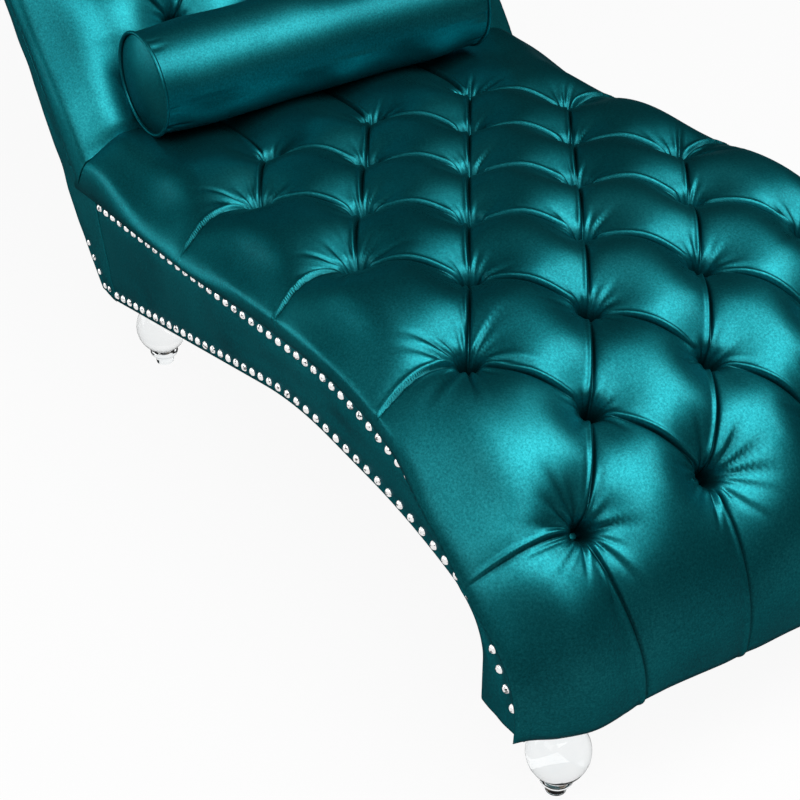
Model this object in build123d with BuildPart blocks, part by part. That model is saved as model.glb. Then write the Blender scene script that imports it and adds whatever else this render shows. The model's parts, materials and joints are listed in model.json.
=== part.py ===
from build123d import *
import os
from math import asin, atan2, cos, degrees, exp, hypot, pi, radians, sin, sqrt

# Chaise longue: a long tufted seat pad that rolls over the foot end, a reclined tufted back
# with a rolled top, arched side rails, four turned clear feet and a loose bolster.
# X runs from the head (-X) to the foot (+X), Y across, Z up from the floor. Millimetres.

# Overall
WIDTH = 640.0              # across the outer faces of the side bands
LEG_HEIGHT = 118.0         # floor to the underside of the rails
FACE_GAP = 0.3             # clearance where a soft face meets another piece

# Seat line: the line through the tuft buttons, seen from the side, from the crease forward
CREASE_RISE = 188.0        # crease of seat and back, above the rails' underside
SEAT_SLOPE = 8.5           # rise of the straight part towards the foot, degrees
SEAT_RUN = 509.0           # straight part
CREST_R = 600.0
CREST_TURN = 29.5
KNEE_R = 280.0
KNEE_TURN = 19.0
NOSE_R = 190.0             # the nose turns on to the vertical

# Back line: the line through the back's buttons
BACK_RECLINE = 39.4        # from the vertical, degrees
BACK_RUN = 580.0           # crease to the start of the rolled top
POST_THICK = 42.0          # back post, front to rear
POST_FOOT_THICK = 62.0     # back post beside the crease
POST_LOW = 43.0            # where it is that thick, below the crease

# Layers below the button line
SEAT_FLOOR = 22.0          # underside of the seat cover's padding
SEAT_FOAM = 24.0
SEAT_DECK = 10.0
BACK_FLOOR = 20.0
BACK_FOAM = 16.0
BACK_BOARD = 8.0
BOARD_GAP = 1.0            # back board to the post's front edge
RAIL_THICK = 22.0          # side rails and posts, across
BAND_THICK = 4.0           # velvet bands and panels with their wadding
WALL = 20.0                # side walls of the padding, inward from the bands' faces

# Tufting
COLUMN = 146.4             # button spacing across
COLUMNS = 4                # buttons in a wide row
ROW = 108.0                # from one row to the next, along the line
SEAT_FIRST_ROW = 152.0     # ahead of the crease
SEAT_ROWS = 8
BACK_FIRST_ROW = 130.0     # above the crease
BACK_ROWS = 4
PILLOW = 28.0              # crown of a diamond above its buttons
PLEAT = 0.45               # height of a pleat, as a share of the crown
WELL_R = 38.0              # how far a button draws the padding in
SEAT_CROWN = 11.0          # drop of the outer columns below the middle
SEAT_REAR_PAD = 23.0       # crown beside the crease, seat and back
BACK_LOW_PAD = 19.0
HEM_PAD = 8.0              # crown at the hem of the nose
SHOULDER_SHARE = 0.36      # depth of the pad's shoulder, as a share of the wall's height
SHOULDER_IN = 14.0         # the shoulder lies this far in from the wall
SHOULDER_FADE = 2.0        # rows past the last button over which the shoulder rises to the hem
HEM_SHOULDER = 6.0         # depth of the shoulder at the hem
SWELL_SHARE = 0.66         # the wall swells most at this share of its height
PLEAT_NIP = 7.0            # a pleat draws the shoulder in by this much
SIDE_PUFF = 9.0            # rounding between the outer buttons and the shoulder
SIDE_PUFF_LEAST = 2.0
PAD_SKIRT = 16.0           # the section runs on below the wall, where the core is cut
ROLL_PAD = 16.0            # crown at the rear end of the rolled top
EDGE_BULGE = 10.0          # side walls swell past the bands
BUTTON_R = 10.0
BUTTON_H = 4.0
BUTTON_SINK = 4.0          # button's seat below the button line
BUTTON_DOME = 4.0
POCKET_GAP = 0.4
TIE_R = 1.6
TIE_GAP = 0.2
TIE_TAIL = 5.0             # tie beyond its washer
WASHER_R = 8.0
WASHER_T = 3.0

# Frame
FOOT_LENGTH = 68.0         # side rails' front foot, along X
FRONT_RAIL_L = 62.0
REAR_RAIL_L = 55.0
REAR_RAIL_H = 46.0
SEAM_FOOT = 50.0           # rail and post meet here, ahead of the crease
SEAM_TOP = 7.0
NECK_FOOT = 30.0           # height of the rail's upright front edge
ARCH_SLOPE = 16.07
ARCH_RUN = 409.0
ARCH_CROWN_R = 500.0
ARCH_SHOULDER_R = 700.0
ARCH_SHOULDER_TURN = 13.0
ARCH_HEEL_R = 65.0
CROSS_RAIL_T = 22.0
CROSS_RAIL_H = 60.0
CROSS_RAIL_AT = (206.0, 422.0)   # along the seat line
BACK_RAIL_H = 70.0         # top and middle rails, along the back
MID_RAIL_AT = 291.0        # above the crease
LOWER_RAIL_L = 60.0
LOWER_RAIL_H = 48.0
LOWER_RAIL_SHIFT = -7.0    # ahead of the deck's rear corner
LOWER_RAIL_GAP = 4.0       # below the seat deck's rear corner
DUST_LIFT = 2.0
DUST_T = 1.2
SCREW_R = 2.5
SCREW_L = 45.0
SCREW_HEAD_R = 4.5
SCREW_HEAD_T = 3.0
SCREW_GAP = 0.1
SCREW_INSET = 14.0

# Feet
FRONT_LEG_INSET = 18.0     # behind the front rail's front face
REAR_LEG_AT = 45.0         # ahead of the crease
LEG_SIDE_INSET = 60.0      # in from the bands' faces
LEG_TIP_R = 13.0
LEG_TIP_H = 12.0
LEG_RING_R = 18.0
LEG_RING_H = 10.0
LEG_BUN_R = 33.0
LEG_BUN_H = 66.0
LEG_BUN_NECK_R = 14.0
LEG_COLLAR_R = 20.0
LEG_PLATE_R = 24.0
LEG_PLATE_H = 12.0
BOLT_R = 4.0
BOLT_GAP = 0.05
BOLT_IN_LEG = 30.0
INSERT_R = 6.5
INSERT_L = 20.0

# Trim
NAIL_R = 5.0
NAIL_DOME = 3.2
NAIL_SHANK_R = 0.9
NAIL_SHANK_L = 11.0
NAIL_PITCH = 20.0
NAIL_TOP_INSET = 10.0      # upper row, below the bands' top edge
NAIL_LOW_INSET = 9.0       # lower row, above the bands' bottom edge
NAIL_NECK_INSET = 14.0     # lower row, behind the neck's front edge
WELT_R = 4.0
WELT_GAP = 0.3

# Bolster
BOLSTER_R = 66.0
BOLSTER_END_R = 63.0
BOLSTER_L = 470.0
BOLSTER_SIDE = -13.0       # off the middle, as it lies
BOLSTER_TAPER = 70.0       # drawn in over this length to the piped ends
BOLSTER_DOME = 9.0
BOLSTER_COVER = 7.0
BOLSTER_WELT_R = 4.0
BOLSTER_WELT_GAP = 0.1
BOLSTER_SETTLE = 0.85      # it lies this far below the full crown of seat and back

os.makedirs("parts", exist_ok=True)

half = WIDTH / 2
leg_spread = half - LEG_SIDE_INSET
rail_in = half - BAND_THICK - RAIL_THICK
rail_out = half - BAND_THICK
wall_in = half - WALL
seat_edge = SEAT_FLOOR + SEAT_FOAM + SEAT_DECK       # rails' top edge below the seat line
back_edge = BACK_FLOOR + BACK_FOAM + BACK_BOARD + BOARD_GAP
post_rear = back_edge + POST_THICK
roll_r = back_edge + POST_THICK / 2
slope = radians(SEAT_SLOPE)
recline = radians(BACK_RECLINE)
nose_turn = 90.0 - CREST_TURN - KNEE_TURN + SEAT_SLOPE


def end_of(start, heading, moves):
    """Point and heading, in degrees, after a chain of moves: (length, 0) or (radius, turn)."""
    x, z = start
    for size, turn in moves:
        if turn == 0:
            x += size * cos(radians(heading))
            z += size * sin(radians(heading))
        else:
            side = 1 if turn > 0 else -1
            x -= side * size * sin(radians(heading))
            z += side * size * cos(radians(heading))
            heading += turn
            x += side * size * sin(radians(heading))
            z -= side * size * cos(radians(heading))
    return (x, z), heading


def along(chain, distance, lift=0.0):
    """Point at a distance along a chain, lift to its left, and the heading there."""
    start, heading, moves = chain
    done = []
    left = distance
    for size, turn in moves:
        length = size if turn == 0 else size * radians(abs(turn))
        step = min(left, length)
        if step > 0:
            done.append((step, 0) if turn == 0 else (size, turn * step / length))
        left -= step
    (x, z), heading = end_of(start, heading, done)
    return (x - lift * sin(radians(heading)), z + lift * cos(radians(heading))), heading


def draw(chain, lift=0.0):
    """Draw a chain's edges, lift to its left, and give the point where they end."""
    start, heading, moves = chain
    point, _ = along(chain, 0.0, lift)
    for size, turn in moves:
        direction = (cos(radians(heading)), sin(radians(heading)))
        if turn == 0:
            edge = Line(point, (point[0] + size * direction[0], point[1] + size * direction[1]))
        else:
            edge = JernArc(point, direction, size - lift * (1 if turn > 0 else -1), turn)
        heading += turn
        point = (edge @ 1).X, (edge @ 1).Y
    return point


def move_by(point, dx, dz):
    return point[0] + dx, point[1] + dz


# Unit vectors in the side view: along the seat, out of the seat, up the back, out of the back
seat_dir = (cos(slope), sin(slope))
seat_out = (-sin(slope), cos(slope))
back_dir = (-sin(recline), cos(recline))
back_out = (cos(recline), sin(recline))


def on_seat(ahead, lift):
    """Point of the straight part of the seat: ahead of the crease and above the line."""
    return (crease[0] + ahead * seat_dir[0] + lift * seat_out[0],
            crease[1] + ahead * seat_dir[1] + lift * seat_out[1])


def on_back(up, lift):
    """Point of the straight part of the back: above the crease and before the line."""
    return (crease[0] + up * back_dir[0] + lift * back_out[0],
            crease[1] + up * back_dir[1] + lift * back_out[1])


# Crown of the padding over the button line
def pillow(column, row, rows, outer):
    """Height at a column and a row, both counted from the first button; outer past the ends."""
    inside = min(max(row, 0.0), rows - 1.0)
    one = column + (inside - 1) / 2
    two = column - (inside - 1) / 2
    diamond = sqrt(abs(sin(pi * one) * sin(pi * two)))
    height = outer(row) * (PLEAT + (1 - PLEAT) * diamond)
    draw_in = 0.0
    for nearest in (int(inside), min(int(inside) + 1, rows - 1)):
        shift = 0.0 if nearest % 2 else 0.5
        across = (column - shift - round(column - shift)) * COLUMN
        draw_in = max(draw_in, exp(-((hypot(across, (row - nearest) * ROW) / WELL_R) ** 2)))
    return height * (1 - draw_in)


def crown_drop(y):
    outermost = COLUMN * (COLUMNS - 1) / 2
    return SEAT_CROWN * (y / outermost) ** 2


def pad_section(edge, row, rows, outer):
    """Draw one cross-section of a tufted pad: walls, shoulders and the crown between them."""
    columns = COLUMNS - 1
    first = -COLUMN * columns / 2
    across_pleat = abs(cos(pi * min(max(row, 0.0), rows - 1.0) / 2))
    past = min(max((row - rows + 1) / SHOULDER_FADE, 0.0), 1.0)
    shoulder = -SHOULDER_SHARE * edge - PLEAT_NIP * (1 - across_pleat)
    shoulder += (-HEM_SHOULDER - shoulder) * past
    inset = half - SHOULDER_IN
    swell = half + EDGE_BULGE
    steps = 4 * columns
    crown = []
    for step in range(2 * steps + 1):
        column = step / 8
        y = first + column * COLUMN
        crown.append((y, pillow(column, row, rows, outer) - crown_drop(y)))
    side = (crown[0][0] - inset) / 2
    middle = (crown[0][1] + shoulder) / 2 + SIDE_PUFF * across_pleat + SIDE_PUFF_LEAST
    foot = -edge - PAD_SKIRT
    Line((half, foot), (-half, foot))
    Line((-half, foot), (-half, -edge))
    ThreePointArc((-half, -edge), (-swell, -SWELL_SHARE * edge), (-inset, shoulder))
    ThreePointArc((-inset, shoulder), (side, middle), crown[0])
    for step in range(steps):
        start, mid, stop = crown[2 * step:2 * step + 3]
        if abs((start[1] + stop[1]) / 2 - mid[1]) > 0.05:
            ThreePointArc(start, mid, stop)
        else:
            Line(start, stop)
    ThreePointArc(crown[-1], (-side, middle), (inset, shoulder))
    ThreePointArc((inset, shoulder), (swell, -SWELL_SHARE * edge), (half, -edge))
    Line((half, -edge), (half, foot))


def ease(low, high, share):
    return low + (high - low) * min(max(share, 0.0), 1.0)


# The seat and the back as chains, first from a crease at the middle, then shifted so that the
# origin is under the middle of the length
SKIRT = 70.0                       # the lines run on past the crease, where the pads are cut
seat_moves = [(SKIRT + SEAT_RUN, 0), (CREST_R, -CREST_TURN), (KNEE_R, -KNEE_TURN),
              (NOSE_R, -nose_turn)]
seat_length = SEAT_RUN + radians(1) * (CREST_R * CREST_TURN + KNEE_R * KNEE_TURN
                                       + NOSE_R * nose_turn)
nose_last = (seat_length - SEAT_FIRST_ROW) / ROW
back_length = pi * roll_r + BACK_RUN
roll_last = (BACK_RUN + pi * roll_r - BACK_FIRST_ROW) / ROW


def seat_outer(row):
    if row < 0:
        return ease(PILLOW, SEAT_REAR_PAD, -2 * row)
    return ease(PILLOW, HEM_PAD, (row - SEAT_ROWS + 1) / (nose_last + 0.4 - SEAT_ROWS + 1))


def back_outer(row):
    if row < 0:
        return ease(PILLOW, BACK_LOW_PAD, -2 * row)
    return ease(PILLOW, ROLL_PAD, (row - BACK_ROWS + 1) / (roll_last - BACK_ROWS + 1))


crease = (0.0, LEG_HEIGHT + CREASE_RISE)
seat_chain = (on_seat(-SKIRT, 0), SEAT_SLOPE, seat_moves)
roll_start = on_back(BACK_RUN, -2 * roll_r)
roll_chain = (roll_start, 90.0 + BACK_RECLINE, [(roll_r, -180.0)])
front_reach = max(along(seat_chain, SKIRT + seat_length - NOSE_R * radians(turn),
                        seat_outer(nose_last - NOSE_R * radians(turn) / ROW))[0][0]
                  for turn in range(0, 40))
rear_reach = min(along(roll_chain, roll_r * radians(turn),
                       back_outer(roll_last - roll_r * radians(turn) / ROW))[0][0]
                 for turn in range(0, 180))
crease = (-(front_reach + rear_reach) / 2, crease[1])
seat_chain = (on_seat(-SKIRT, 0), SEAT_SLOPE, seat_moves)
roll_start = on_back(BACK_RUN, -2 * roll_r)
back_chain = (roll_start, 90.0 + BACK_RECLINE, [(roll_r, -180.0), (BACK_RUN + SKIRT, 0)])
(nose_x, nose_z), _ = along(seat_chain, SKIRT + seat_length)
rail_front = nose_x - SEAT_FLOOR
drop = nose_z - LEG_HEIGHT
pad_chain = (seat_chain[0], SEAT_SLOPE, seat_moves + [(drop, 0)])


def meet(seat_lift, back_lift):
    """Where a line under the seat meets a line behind the back."""
    cross = seat_out[0] * back_out[1] - seat_out[1] * back_out[0]
    dx = (seat_lift * back_out[1] - back_lift * seat_out[1]) / cross
    dz = (back_lift * seat_out[0] - seat_lift * back_out[0]) / cross
    return crease[0] + dx, crease[1] + dz


corner = meet(-seat_edge, -back_edge)
cut_length = hypot(corner[0] - crease[0], corner[1] - crease[1])
cut_normal = ((crease[1] - corner[1]) / cut_length, (corner[0] - crease[0]) / cut_length)


def crease_plane(ahead):
    """Upright cut through the crease, the seat's pieces before it and the back's behind it."""
    return Plane(origin=(crease[0] + ahead * cut_normal[0], 0, crease[1] + ahead * cut_normal[1]),
                 x_dir=(0, 1, 0), z_dir=(cut_normal[0], 0, cut_normal[1]))


# Side view of the arched bottom edge, from the seam at the rear to the foot's heel
seam_foot = (crease[0] + SEAM_FOOT, LEG_HEIGHT)
seam_top = on_seat(SEAM_TOP, -seat_edge)
heel_turn = 90.0 - ARCH_SHOULDER_TURN
arch_start = [(ARCH_RUN, 0), (ARCH_CROWN_R, -ARCH_SLOPE)]
arch_stop = [(ARCH_SHOULDER_R, -ARCH_SHOULDER_TURN), (ARCH_HEEL_R, -heel_turn)]
(bare_x, heel_z), _ = end_of(seam_foot, ARCH_SLOPE, arch_start + arch_stop)
arch_flat = rail_front - FOOT_LENGTH - bare_x
arch_moves = arch_start + [(arch_flat, 0)] + arch_stop
arch_chain = (seam_foot, ARCH_SLOPE, arch_moves + [(heel_z - LEG_HEIGHT, 0)])
neck_top, _ = along(seat_chain, SKIRT + seat_length - NOSE_R * radians(nose_turn), -seat_edge)
neck_foot = (rail_front, LEG_HEIGHT + NECK_FOOT)
rail_top = (seat_chain[0], SEAT_SLOPE, seat_moves[:3])

def arc_to(point, heading, target):
    """Radius and turn of the arc that leaves a point on a heading and reaches a target."""
    dx, dz = target[0] - point[0], target[1] - point[1]
    turn = 2 * (degrees(atan2(dz, dx)) - heading)
    return hypot(dx, dz) / (2 * sin(radians(abs(turn) / 2))), turn


# Rear edge of the posts, from the rolled top down to the heel
post_heel = (crease[0] + REAR_LEG_AT - LEG_BUN_R, LEG_HEIGHT)
post_low = on_back(-POST_LOW, -back_edge - POST_FOOT_THICK)
post_bend = on_back(BACK_RUN / 3, -post_rear)
down = BACK_RECLINE - 90.0
rear_run = [(BACK_RUN * 2 / 3, 0), arc_to(post_bend, down, post_low)]
rear_run.append(arc_to(post_low, down + rear_run[1][1], post_heel))
rear_chain = (on_back(BACK_RUN, -post_rear), down, rear_run)
rear_length = sum(size if turn == 0 else size * radians(abs(turn)) for size, turn in rear_run)


def rail_outline():
    """Side rail in the side view: under the seat's edge, down the neck and along the arch."""
    edge = [(SEAT_RUN - SEAM_TOP, 0)] + seat_moves[1:3]
    end = draw((on_seat(SEAM_TOP, 0), SEAT_SLOPE, edge), -seat_edge)
    Line(end, neck_foot)
    Line(neck_foot, (rail_front, LEG_HEIGHT))
    heel = draw(arch_chain)
    Line((rail_front, LEG_HEIGHT), heel)
    Line(seam_foot, seam_top)


def post_outline():
    """Back post in the side view: foot, seam, crease corner, front edge, top and rear edge."""
    Line(post_heel, seam_foot)
    Line(seam_foot, seam_top)
    Line(seam_top, corner)
    Line(corner, on_back(BACK_RUN, -back_edge))
    JernArc(on_back(BACK_RUN, -back_edge), back_dir, POST_THICK / 2, 180.0)
    draw(rear_chain)


def rail_zone():
    """All that lies under the seat pad's side walls, in the side view."""
    start, _ = along(rail_top, 0.0, FACE_GAP - seat_edge)
    end = draw(rail_top, FACE_GAP - seat_edge)
    Polyline(end, move_by(neck_foot, 0, FACE_GAP), (rail_front, LEG_HEIGHT),
             (start[0], LEG_HEIGHT), start)


def seat_layer(top, bottom):
    """A layer under the seat pad, in the side view, from its upper to its lower face."""
    upper = draw(seat_chain, -top)
    lower = draw(seat_chain, -bottom)
    Line(upper, lower)
    Line(along(seat_chain, 0.0, -top)[0], along(seat_chain, 0.0, -bottom)[0])


def back_layer(top, bottom, chain):
    """A layer behind the back pad, in the side view."""
    upper = draw(chain, -top)
    lower = draw(chain, -bottom)
    Line(upper, lower)
    Line(along(chain, 0.0, -top)[0], along(chain, 0.0, -bottom)[0])


def section_plane(chain, distance):
    """Plane across a chain: its x runs across the chaise, its y out of the padding."""
    (x, z), heading = along(chain, distance)
    return Plane(origin=(x, 0, z), x_dir=(0, 1, 0),
                 z_dir=(cos(radians(heading)), 0, sin(radians(heading))))


def button_places(chain, first, step, rows, sink):
    """Where the buttons sit: three and four to a row in turn, sunk below the padding's line."""
    places = []
    for row in range(rows):
        (x, z), heading = along(chain, first + step * row)
        out = (-sin(radians(heading)), cos(radians(heading)))
        count = COLUMNS - 1 if row % 2 == 0 else COLUMNS
        for item in range(count):
            y = (item - (count - 1) / 2) * COLUMN
            lift = -crown_drop(y) - sink
            place = Plane(origin=(x + lift * out[0], y, z + lift * out[1]), x_dir=(0, 1, 0),
                          z_dir=(out[0], 0, out[1]))
            places.append(place.location)
    return places


def washer_places(chain, first, step, rows, depth):
    """Where the ties come out under the deck or behind the board."""
    places = []
    for row in range(rows):
        (x, z), heading = along(chain, first + step * row, -depth)
        out = (-sin(radians(heading)), 0, cos(radians(heading)))
        count = COLUMNS - 1 if row % 2 == 0 else COLUMNS
        for item in range(count):
            y = (item - (count - 1) / 2) * COLUMN
            places.append(Plane(origin=(x, y, z), x_dir=(0, 1, 0), z_dir=out).location)
    return places


seat_first = SKIRT + SEAT_FIRST_ROW
back_first = back_length - BACK_FIRST_ROW
seat_buttons_at = button_places(seat_chain, seat_first, ROW, SEAT_ROWS, BUTTON_SINK)
back_buttons_at = button_places(back_chain, back_first, -ROW, BACK_ROWS, BUTTON_SINK)
seat_washers_at = washer_places(seat_chain, seat_first, ROW, SEAT_ROWS, seat_edge + FACE_GAP)
back_washers_at = washer_places(back_chain, back_first, -ROW, BACK_ROWS,
                                back_edge - BOARD_GAP + FACE_GAP)
tie_length = seat_edge + WASHER_T + TIE_TAIL
pocket_top = PILLOW * 2

# Frame screws in the side view: into the rails' ends, through the side rails and the posts
front_rail_mid = (rail_front - FRONT_RAIL_L / 2, LEG_HEIGHT + drop / 2)
rear_rail_mid = (post_heel[0] + REAR_RAIL_L / 2, LEG_HEIGHT + REAR_RAIL_H / 2)
lower_rail_mid = (corner[0] + LOWER_RAIL_SHIFT, corner[1] - LOWER_RAIL_GAP - LOWER_RAIL_H / 2)
rail_screws = [move_by(front_rail_mid, -SCREW_INSET, 0), move_by(front_rail_mid, SCREW_INSET, 0),
               move_by(rear_rail_mid, REAR_RAIL_L / 2 - SCREW_INSET / 1.4, 0)]
for place in CROSS_RAIL_AT:
    rail_screws.append(on_seat(place, -seat_edge - CROSS_RAIL_H / 2))
post_screws = [move_by(rear_rail_mid, SCREW_INSET - REAR_RAIL_L / 2, 0),
               move_by(lower_rail_mid, -SCREW_INSET, 0), move_by(lower_rail_mid, SCREW_INSET, 0)]
for place in (MID_RAIL_AT, BACK_RUN - BACK_RAIL_H / 2):
    post_screws.append(on_back(place - SCREW_INSET, -roll_r))
    post_screws.append(on_back(place + SCREW_INSET, -roll_r))

# Side rails, of bent outline, under the seat's edge
with BuildPart() as side_rail_right:
    with BuildSketch(Plane.XZ.offset(rail_in)):
        with BuildLine():
            rail_outline()
        make_face()
        with Locations(*rail_screws):
            Circle(SCREW_R + SCREW_GAP, mode=Mode.SUBTRACT)
    extrude(amount=RAIL_THICK)
    with BuildSketch(Plane.XZ.offset(rail_out)):
        with Locations(*rail_screws):
            Circle(SCREW_HEAD_R + SCREW_GAP)
    extrude(amount=-SCREW_HEAD_T, mode=Mode.SUBTRACT)
side_rail_right.part.label = "side_rail_right"
export_step(side_rail_right.part, "parts/side_rail_right.step")

with BuildPart() as side_rail_left:
    mirror(side_rail_right.part, about=Plane.XZ)
side_rail_left.part.label = "side_rail_left"
export_step(side_rail_left.part, "parts/side_rail_left.step")

# Back posts, from the rear feet to the rolled top
with BuildPart() as back_post_right:
    with BuildSketch(Plane.XZ.offset(rail_in)):
        with BuildLine():
            post_outline()
        make_face()
        with Locations(*post_screws):
            Circle(SCREW_R + SCREW_GAP, mode=Mode.SUBTRACT)
    extrude(amount=RAIL_THICK)
    with BuildSketch(Plane.XZ.offset(rail_out)):
        with Locations(*post_screws):
            Circle(SCREW_HEAD_R + SCREW_GAP)
    extrude(amount=-SCREW_HEAD_T, mode=Mode.SUBTRACT)
back_post_right.part.label = "back_post_right"
export_step(back_post_right.part, "parts/back_post_right.step")

with BuildPart() as back_post_left:
    mirror(back_post_right.part, about=Plane.XZ)
back_post_left.part.label = "back_post_left"
export_step(back_post_left.part, "parts/back_post_left.step")

# Rails across, between the side rails and the posts
leg_front_x = rail_front - FRONT_LEG_INSET
leg_rear_x = crease[0] + REAR_LEG_AT
screw_depth = SCREW_L - RAIL_THICK

with BuildPart() as front_rail:
    with BuildSketch(Plane.XZ):
        with Locations(front_rail_mid):
            Rectangle(FRONT_RAIL_L, drop)
    extrude(amount=rail_in, both=True)
    for side in (-1, 1):
        with BuildSketch(Plane.XZ.offset(side * rail_in)):
            with Locations(*rail_screws[:2]):
                Circle(SCREW_R + SCREW_GAP)
        extrude(amount=-side * screw_depth, mode=Mode.SUBTRACT)
    with Locations((leg_front_x, -leg_spread, LEG_HEIGHT), (leg_front_x, leg_spread, LEG_HEIGHT)):
        Cylinder(INSERT_R + BOLT_GAP, INSERT_L, align=(Align.CENTER, Align.CENTER, Align.MIN),
                 mode=Mode.SUBTRACT)
front_rail.part.label = "front_rail"
export_step(front_rail.part, "parts/front_rail.step")

with BuildPart() as rear_rail:
    with BuildSketch(Plane.XZ):
        with Locations(rear_rail_mid):
            Rectangle(REAR_RAIL_L, REAR_RAIL_H)
    extrude(amount=rail_in, both=True)
    for side in (-1, 1):
        with BuildSketch(Plane.XZ.offset(side * rail_in)):
            with Locations(rail_screws[2], post_screws[0]):
                Circle(SCREW_R + SCREW_GAP)
        extrude(amount=-side * screw_depth, mode=Mode.SUBTRACT)
    with Locations((leg_rear_x, -leg_spread, LEG_HEIGHT), (leg_rear_x, leg_spread, LEG_HEIGHT)):
        Cylinder(INSERT_R + BOLT_GAP, INSERT_L, align=(Align.CENTER, Align.CENTER, Align.MIN),
                 mode=Mode.SUBTRACT)
rear_rail.part.label = "rear_rail"
export_step(rear_rail.part, "parts/rear_rail.step")

with BuildPart() as cross_rail_rear:
    with BuildSketch(Plane.XZ):
        with Locations(Location((*on_seat(CROSS_RAIL_AT[0], -seat_edge - CROSS_RAIL_H / 2), 0),
                                (0, 0, SEAT_SLOPE))):
            Rectangle(CROSS_RAIL_T, CROSS_RAIL_H)
    extrude(amount=rail_in, both=True)
    for side in (-1, 1):
        with BuildSketch(Plane.XZ.offset(side * rail_in)):
            with Locations(rail_screws[3]):
                Circle(SCREW_R + SCREW_GAP)
        extrude(amount=-side * screw_depth, mode=Mode.SUBTRACT)
cross_rail_rear.part.label = "cross_rail_rear"
export_step(cross_rail_rear.part, "parts/cross_rail_rear.step")

with BuildPart() as cross_rail_front:
    with BuildSketch(Plane.XZ):
        with Locations(Location((*on_seat(CROSS_RAIL_AT[1], -seat_edge - CROSS_RAIL_H / 2), 0),
                                (0, 0, SEAT_SLOPE))):
            Rectangle(CROSS_RAIL_T, CROSS_RAIL_H)
    extrude(amount=rail_in, both=True)
    for side in (-1, 1):
        with BuildSketch(Plane.XZ.offset(side * rail_in)):
            with Locations(rail_screws[4]):
                Circle(SCREW_R + SCREW_GAP)
        extrude(amount=-side * screw_depth, mode=Mode.SUBTRACT)
cross_rail_front.part.label = "cross_rail_front"
export_step(cross_rail_front.part, "parts/cross_rail_front.step")

with BuildPart() as back_lower_rail:
    with BuildSketch(Plane.XZ):
        with Locations(lower_rail_mid):
            Rectangle(LOWER_RAIL_L, LOWER_RAIL_H)
    extrude(amount=rail_in, both=True)
    for side in (-1, 1):
        with BuildSketch(Plane.XZ.offset(side * rail_in)):
            with Locations(*post_screws[1:3]):
                Circle(SCREW_R + SCREW_GAP)
        extrude(amount=-side * screw_depth, mode=Mode.SUBTRACT)
back_lower_rail.part.label = "back_lower_rail"
export_step(back_lower_rail.part, "parts/back_lower_rail.step")

with BuildPart() as back_mid_rail:
    board_rear = back_edge - BOARD_GAP
    with BuildSketch(Plane.XZ):
        with BuildLine():
            Polyline(on_back(MID_RAIL_AT - BACK_RAIL_H / 2, -board_rear),
                     on_back(MID_RAIL_AT + BACK_RAIL_H / 2, -board_rear),
                     on_back(MID_RAIL_AT + BACK_RAIL_H / 2, -post_rear),
                     on_back(MID_RAIL_AT - BACK_RAIL_H / 2, -post_rear), close=True)
        make_face()
    extrude(amount=rail_in, both=True)
    for side in (-1, 1):
        with BuildSketch(Plane.XZ.offset(side * rail_in)):
            with Locations(*post_screws[3:5]):
                Circle(SCREW_R + SCREW_GAP)
        extrude(amount=-side * screw_depth, mode=Mode.SUBTRACT)
back_mid_rail.part.label = "back_mid_rail"
export_step(back_mid_rail.part, "parts/back_mid_rail.step")

with BuildPart() as back_top_rail:
    round_in = BACK_FLOOR + BACK_FOAM
    with BuildSketch(Plane.XZ):
        with BuildLine():
            JernArc(on_back(BACK_RUN, -round_in), back_dir, roll_r - round_in, 180.0)
            Polyline(on_back(BACK_RUN, round_in - 2 * roll_r), on_back(BACK_RUN, -post_rear),
                     on_back(BACK_RUN - BACK_RAIL_H, -post_rear),
                     on_back(BACK_RUN - BACK_RAIL_H, -round_in), on_back(BACK_RUN, -round_in))
        make_face()
    extrude(amount=rail_in, both=True)
    for side in (-1, 1):
        with BuildSketch(Plane.XZ.offset(side * rail_in)):
            with Locations(*post_screws[5:7]):
                Circle(SCREW_R + SCREW_GAP)
        extrude(amount=-side * screw_depth, mode=Mode.SUBTRACT)
back_top_rail.part.label = "back_top_rail"
export_step(back_top_rail.part, "parts/back_top_rail.step")

# Bent seat deck, and the foam on it, bored for the ties of the buttons
with BuildPart() as seat_deck:
    with BuildSketch(Plane.XZ):
        with BuildLine():
            seat_layer(SEAT_FLOOR + SEAT_FOAM, seat_edge)
        make_face()
    extrude(amount=wall_in, both=True)
    split(bisect_by=crease_plane(FACE_GAP))
    for side in (-1, 1):
        with BuildSketch(Plane.XZ.offset(side * (rail_in - FACE_GAP))):
            with BuildLine():
                rail_zone()
            make_face()
        extrude(amount=side * WALL, mode=Mode.SUBTRACT)
    with Locations(*seat_buttons_at):
        Cylinder(TIE_R + TIE_GAP, 2 * tie_length, mode=Mode.SUBTRACT)
seat_deck.part.label = "seat_deck"
export_step(seat_deck.part, "parts/seat_deck.step")

with BuildPart() as seat_foam:
    with BuildSketch(Plane.XZ):
        with BuildLine():
            seat_layer(SEAT_FLOOR, SEAT_FLOOR + SEAT_FOAM)
        make_face()
    extrude(amount=wall_in, both=True)
    split(bisect_by=crease_plane(FACE_GAP))
    for side in (-1, 1):
        with BuildSketch(Plane.XZ.offset(side * (rail_in - FACE_GAP))):
            with BuildLine():
                rail_zone()
            make_face()
        extrude(amount=side * WALL, mode=Mode.SUBTRACT)
    with Locations(*seat_buttons_at):
        Cylinder(TIE_R + TIE_GAP, 2 * tie_length, mode=Mode.SUBTRACT)
seat_foam.part.label = "seat_foam"
export_step(seat_foam.part, "parts/seat_foam.step")

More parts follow.
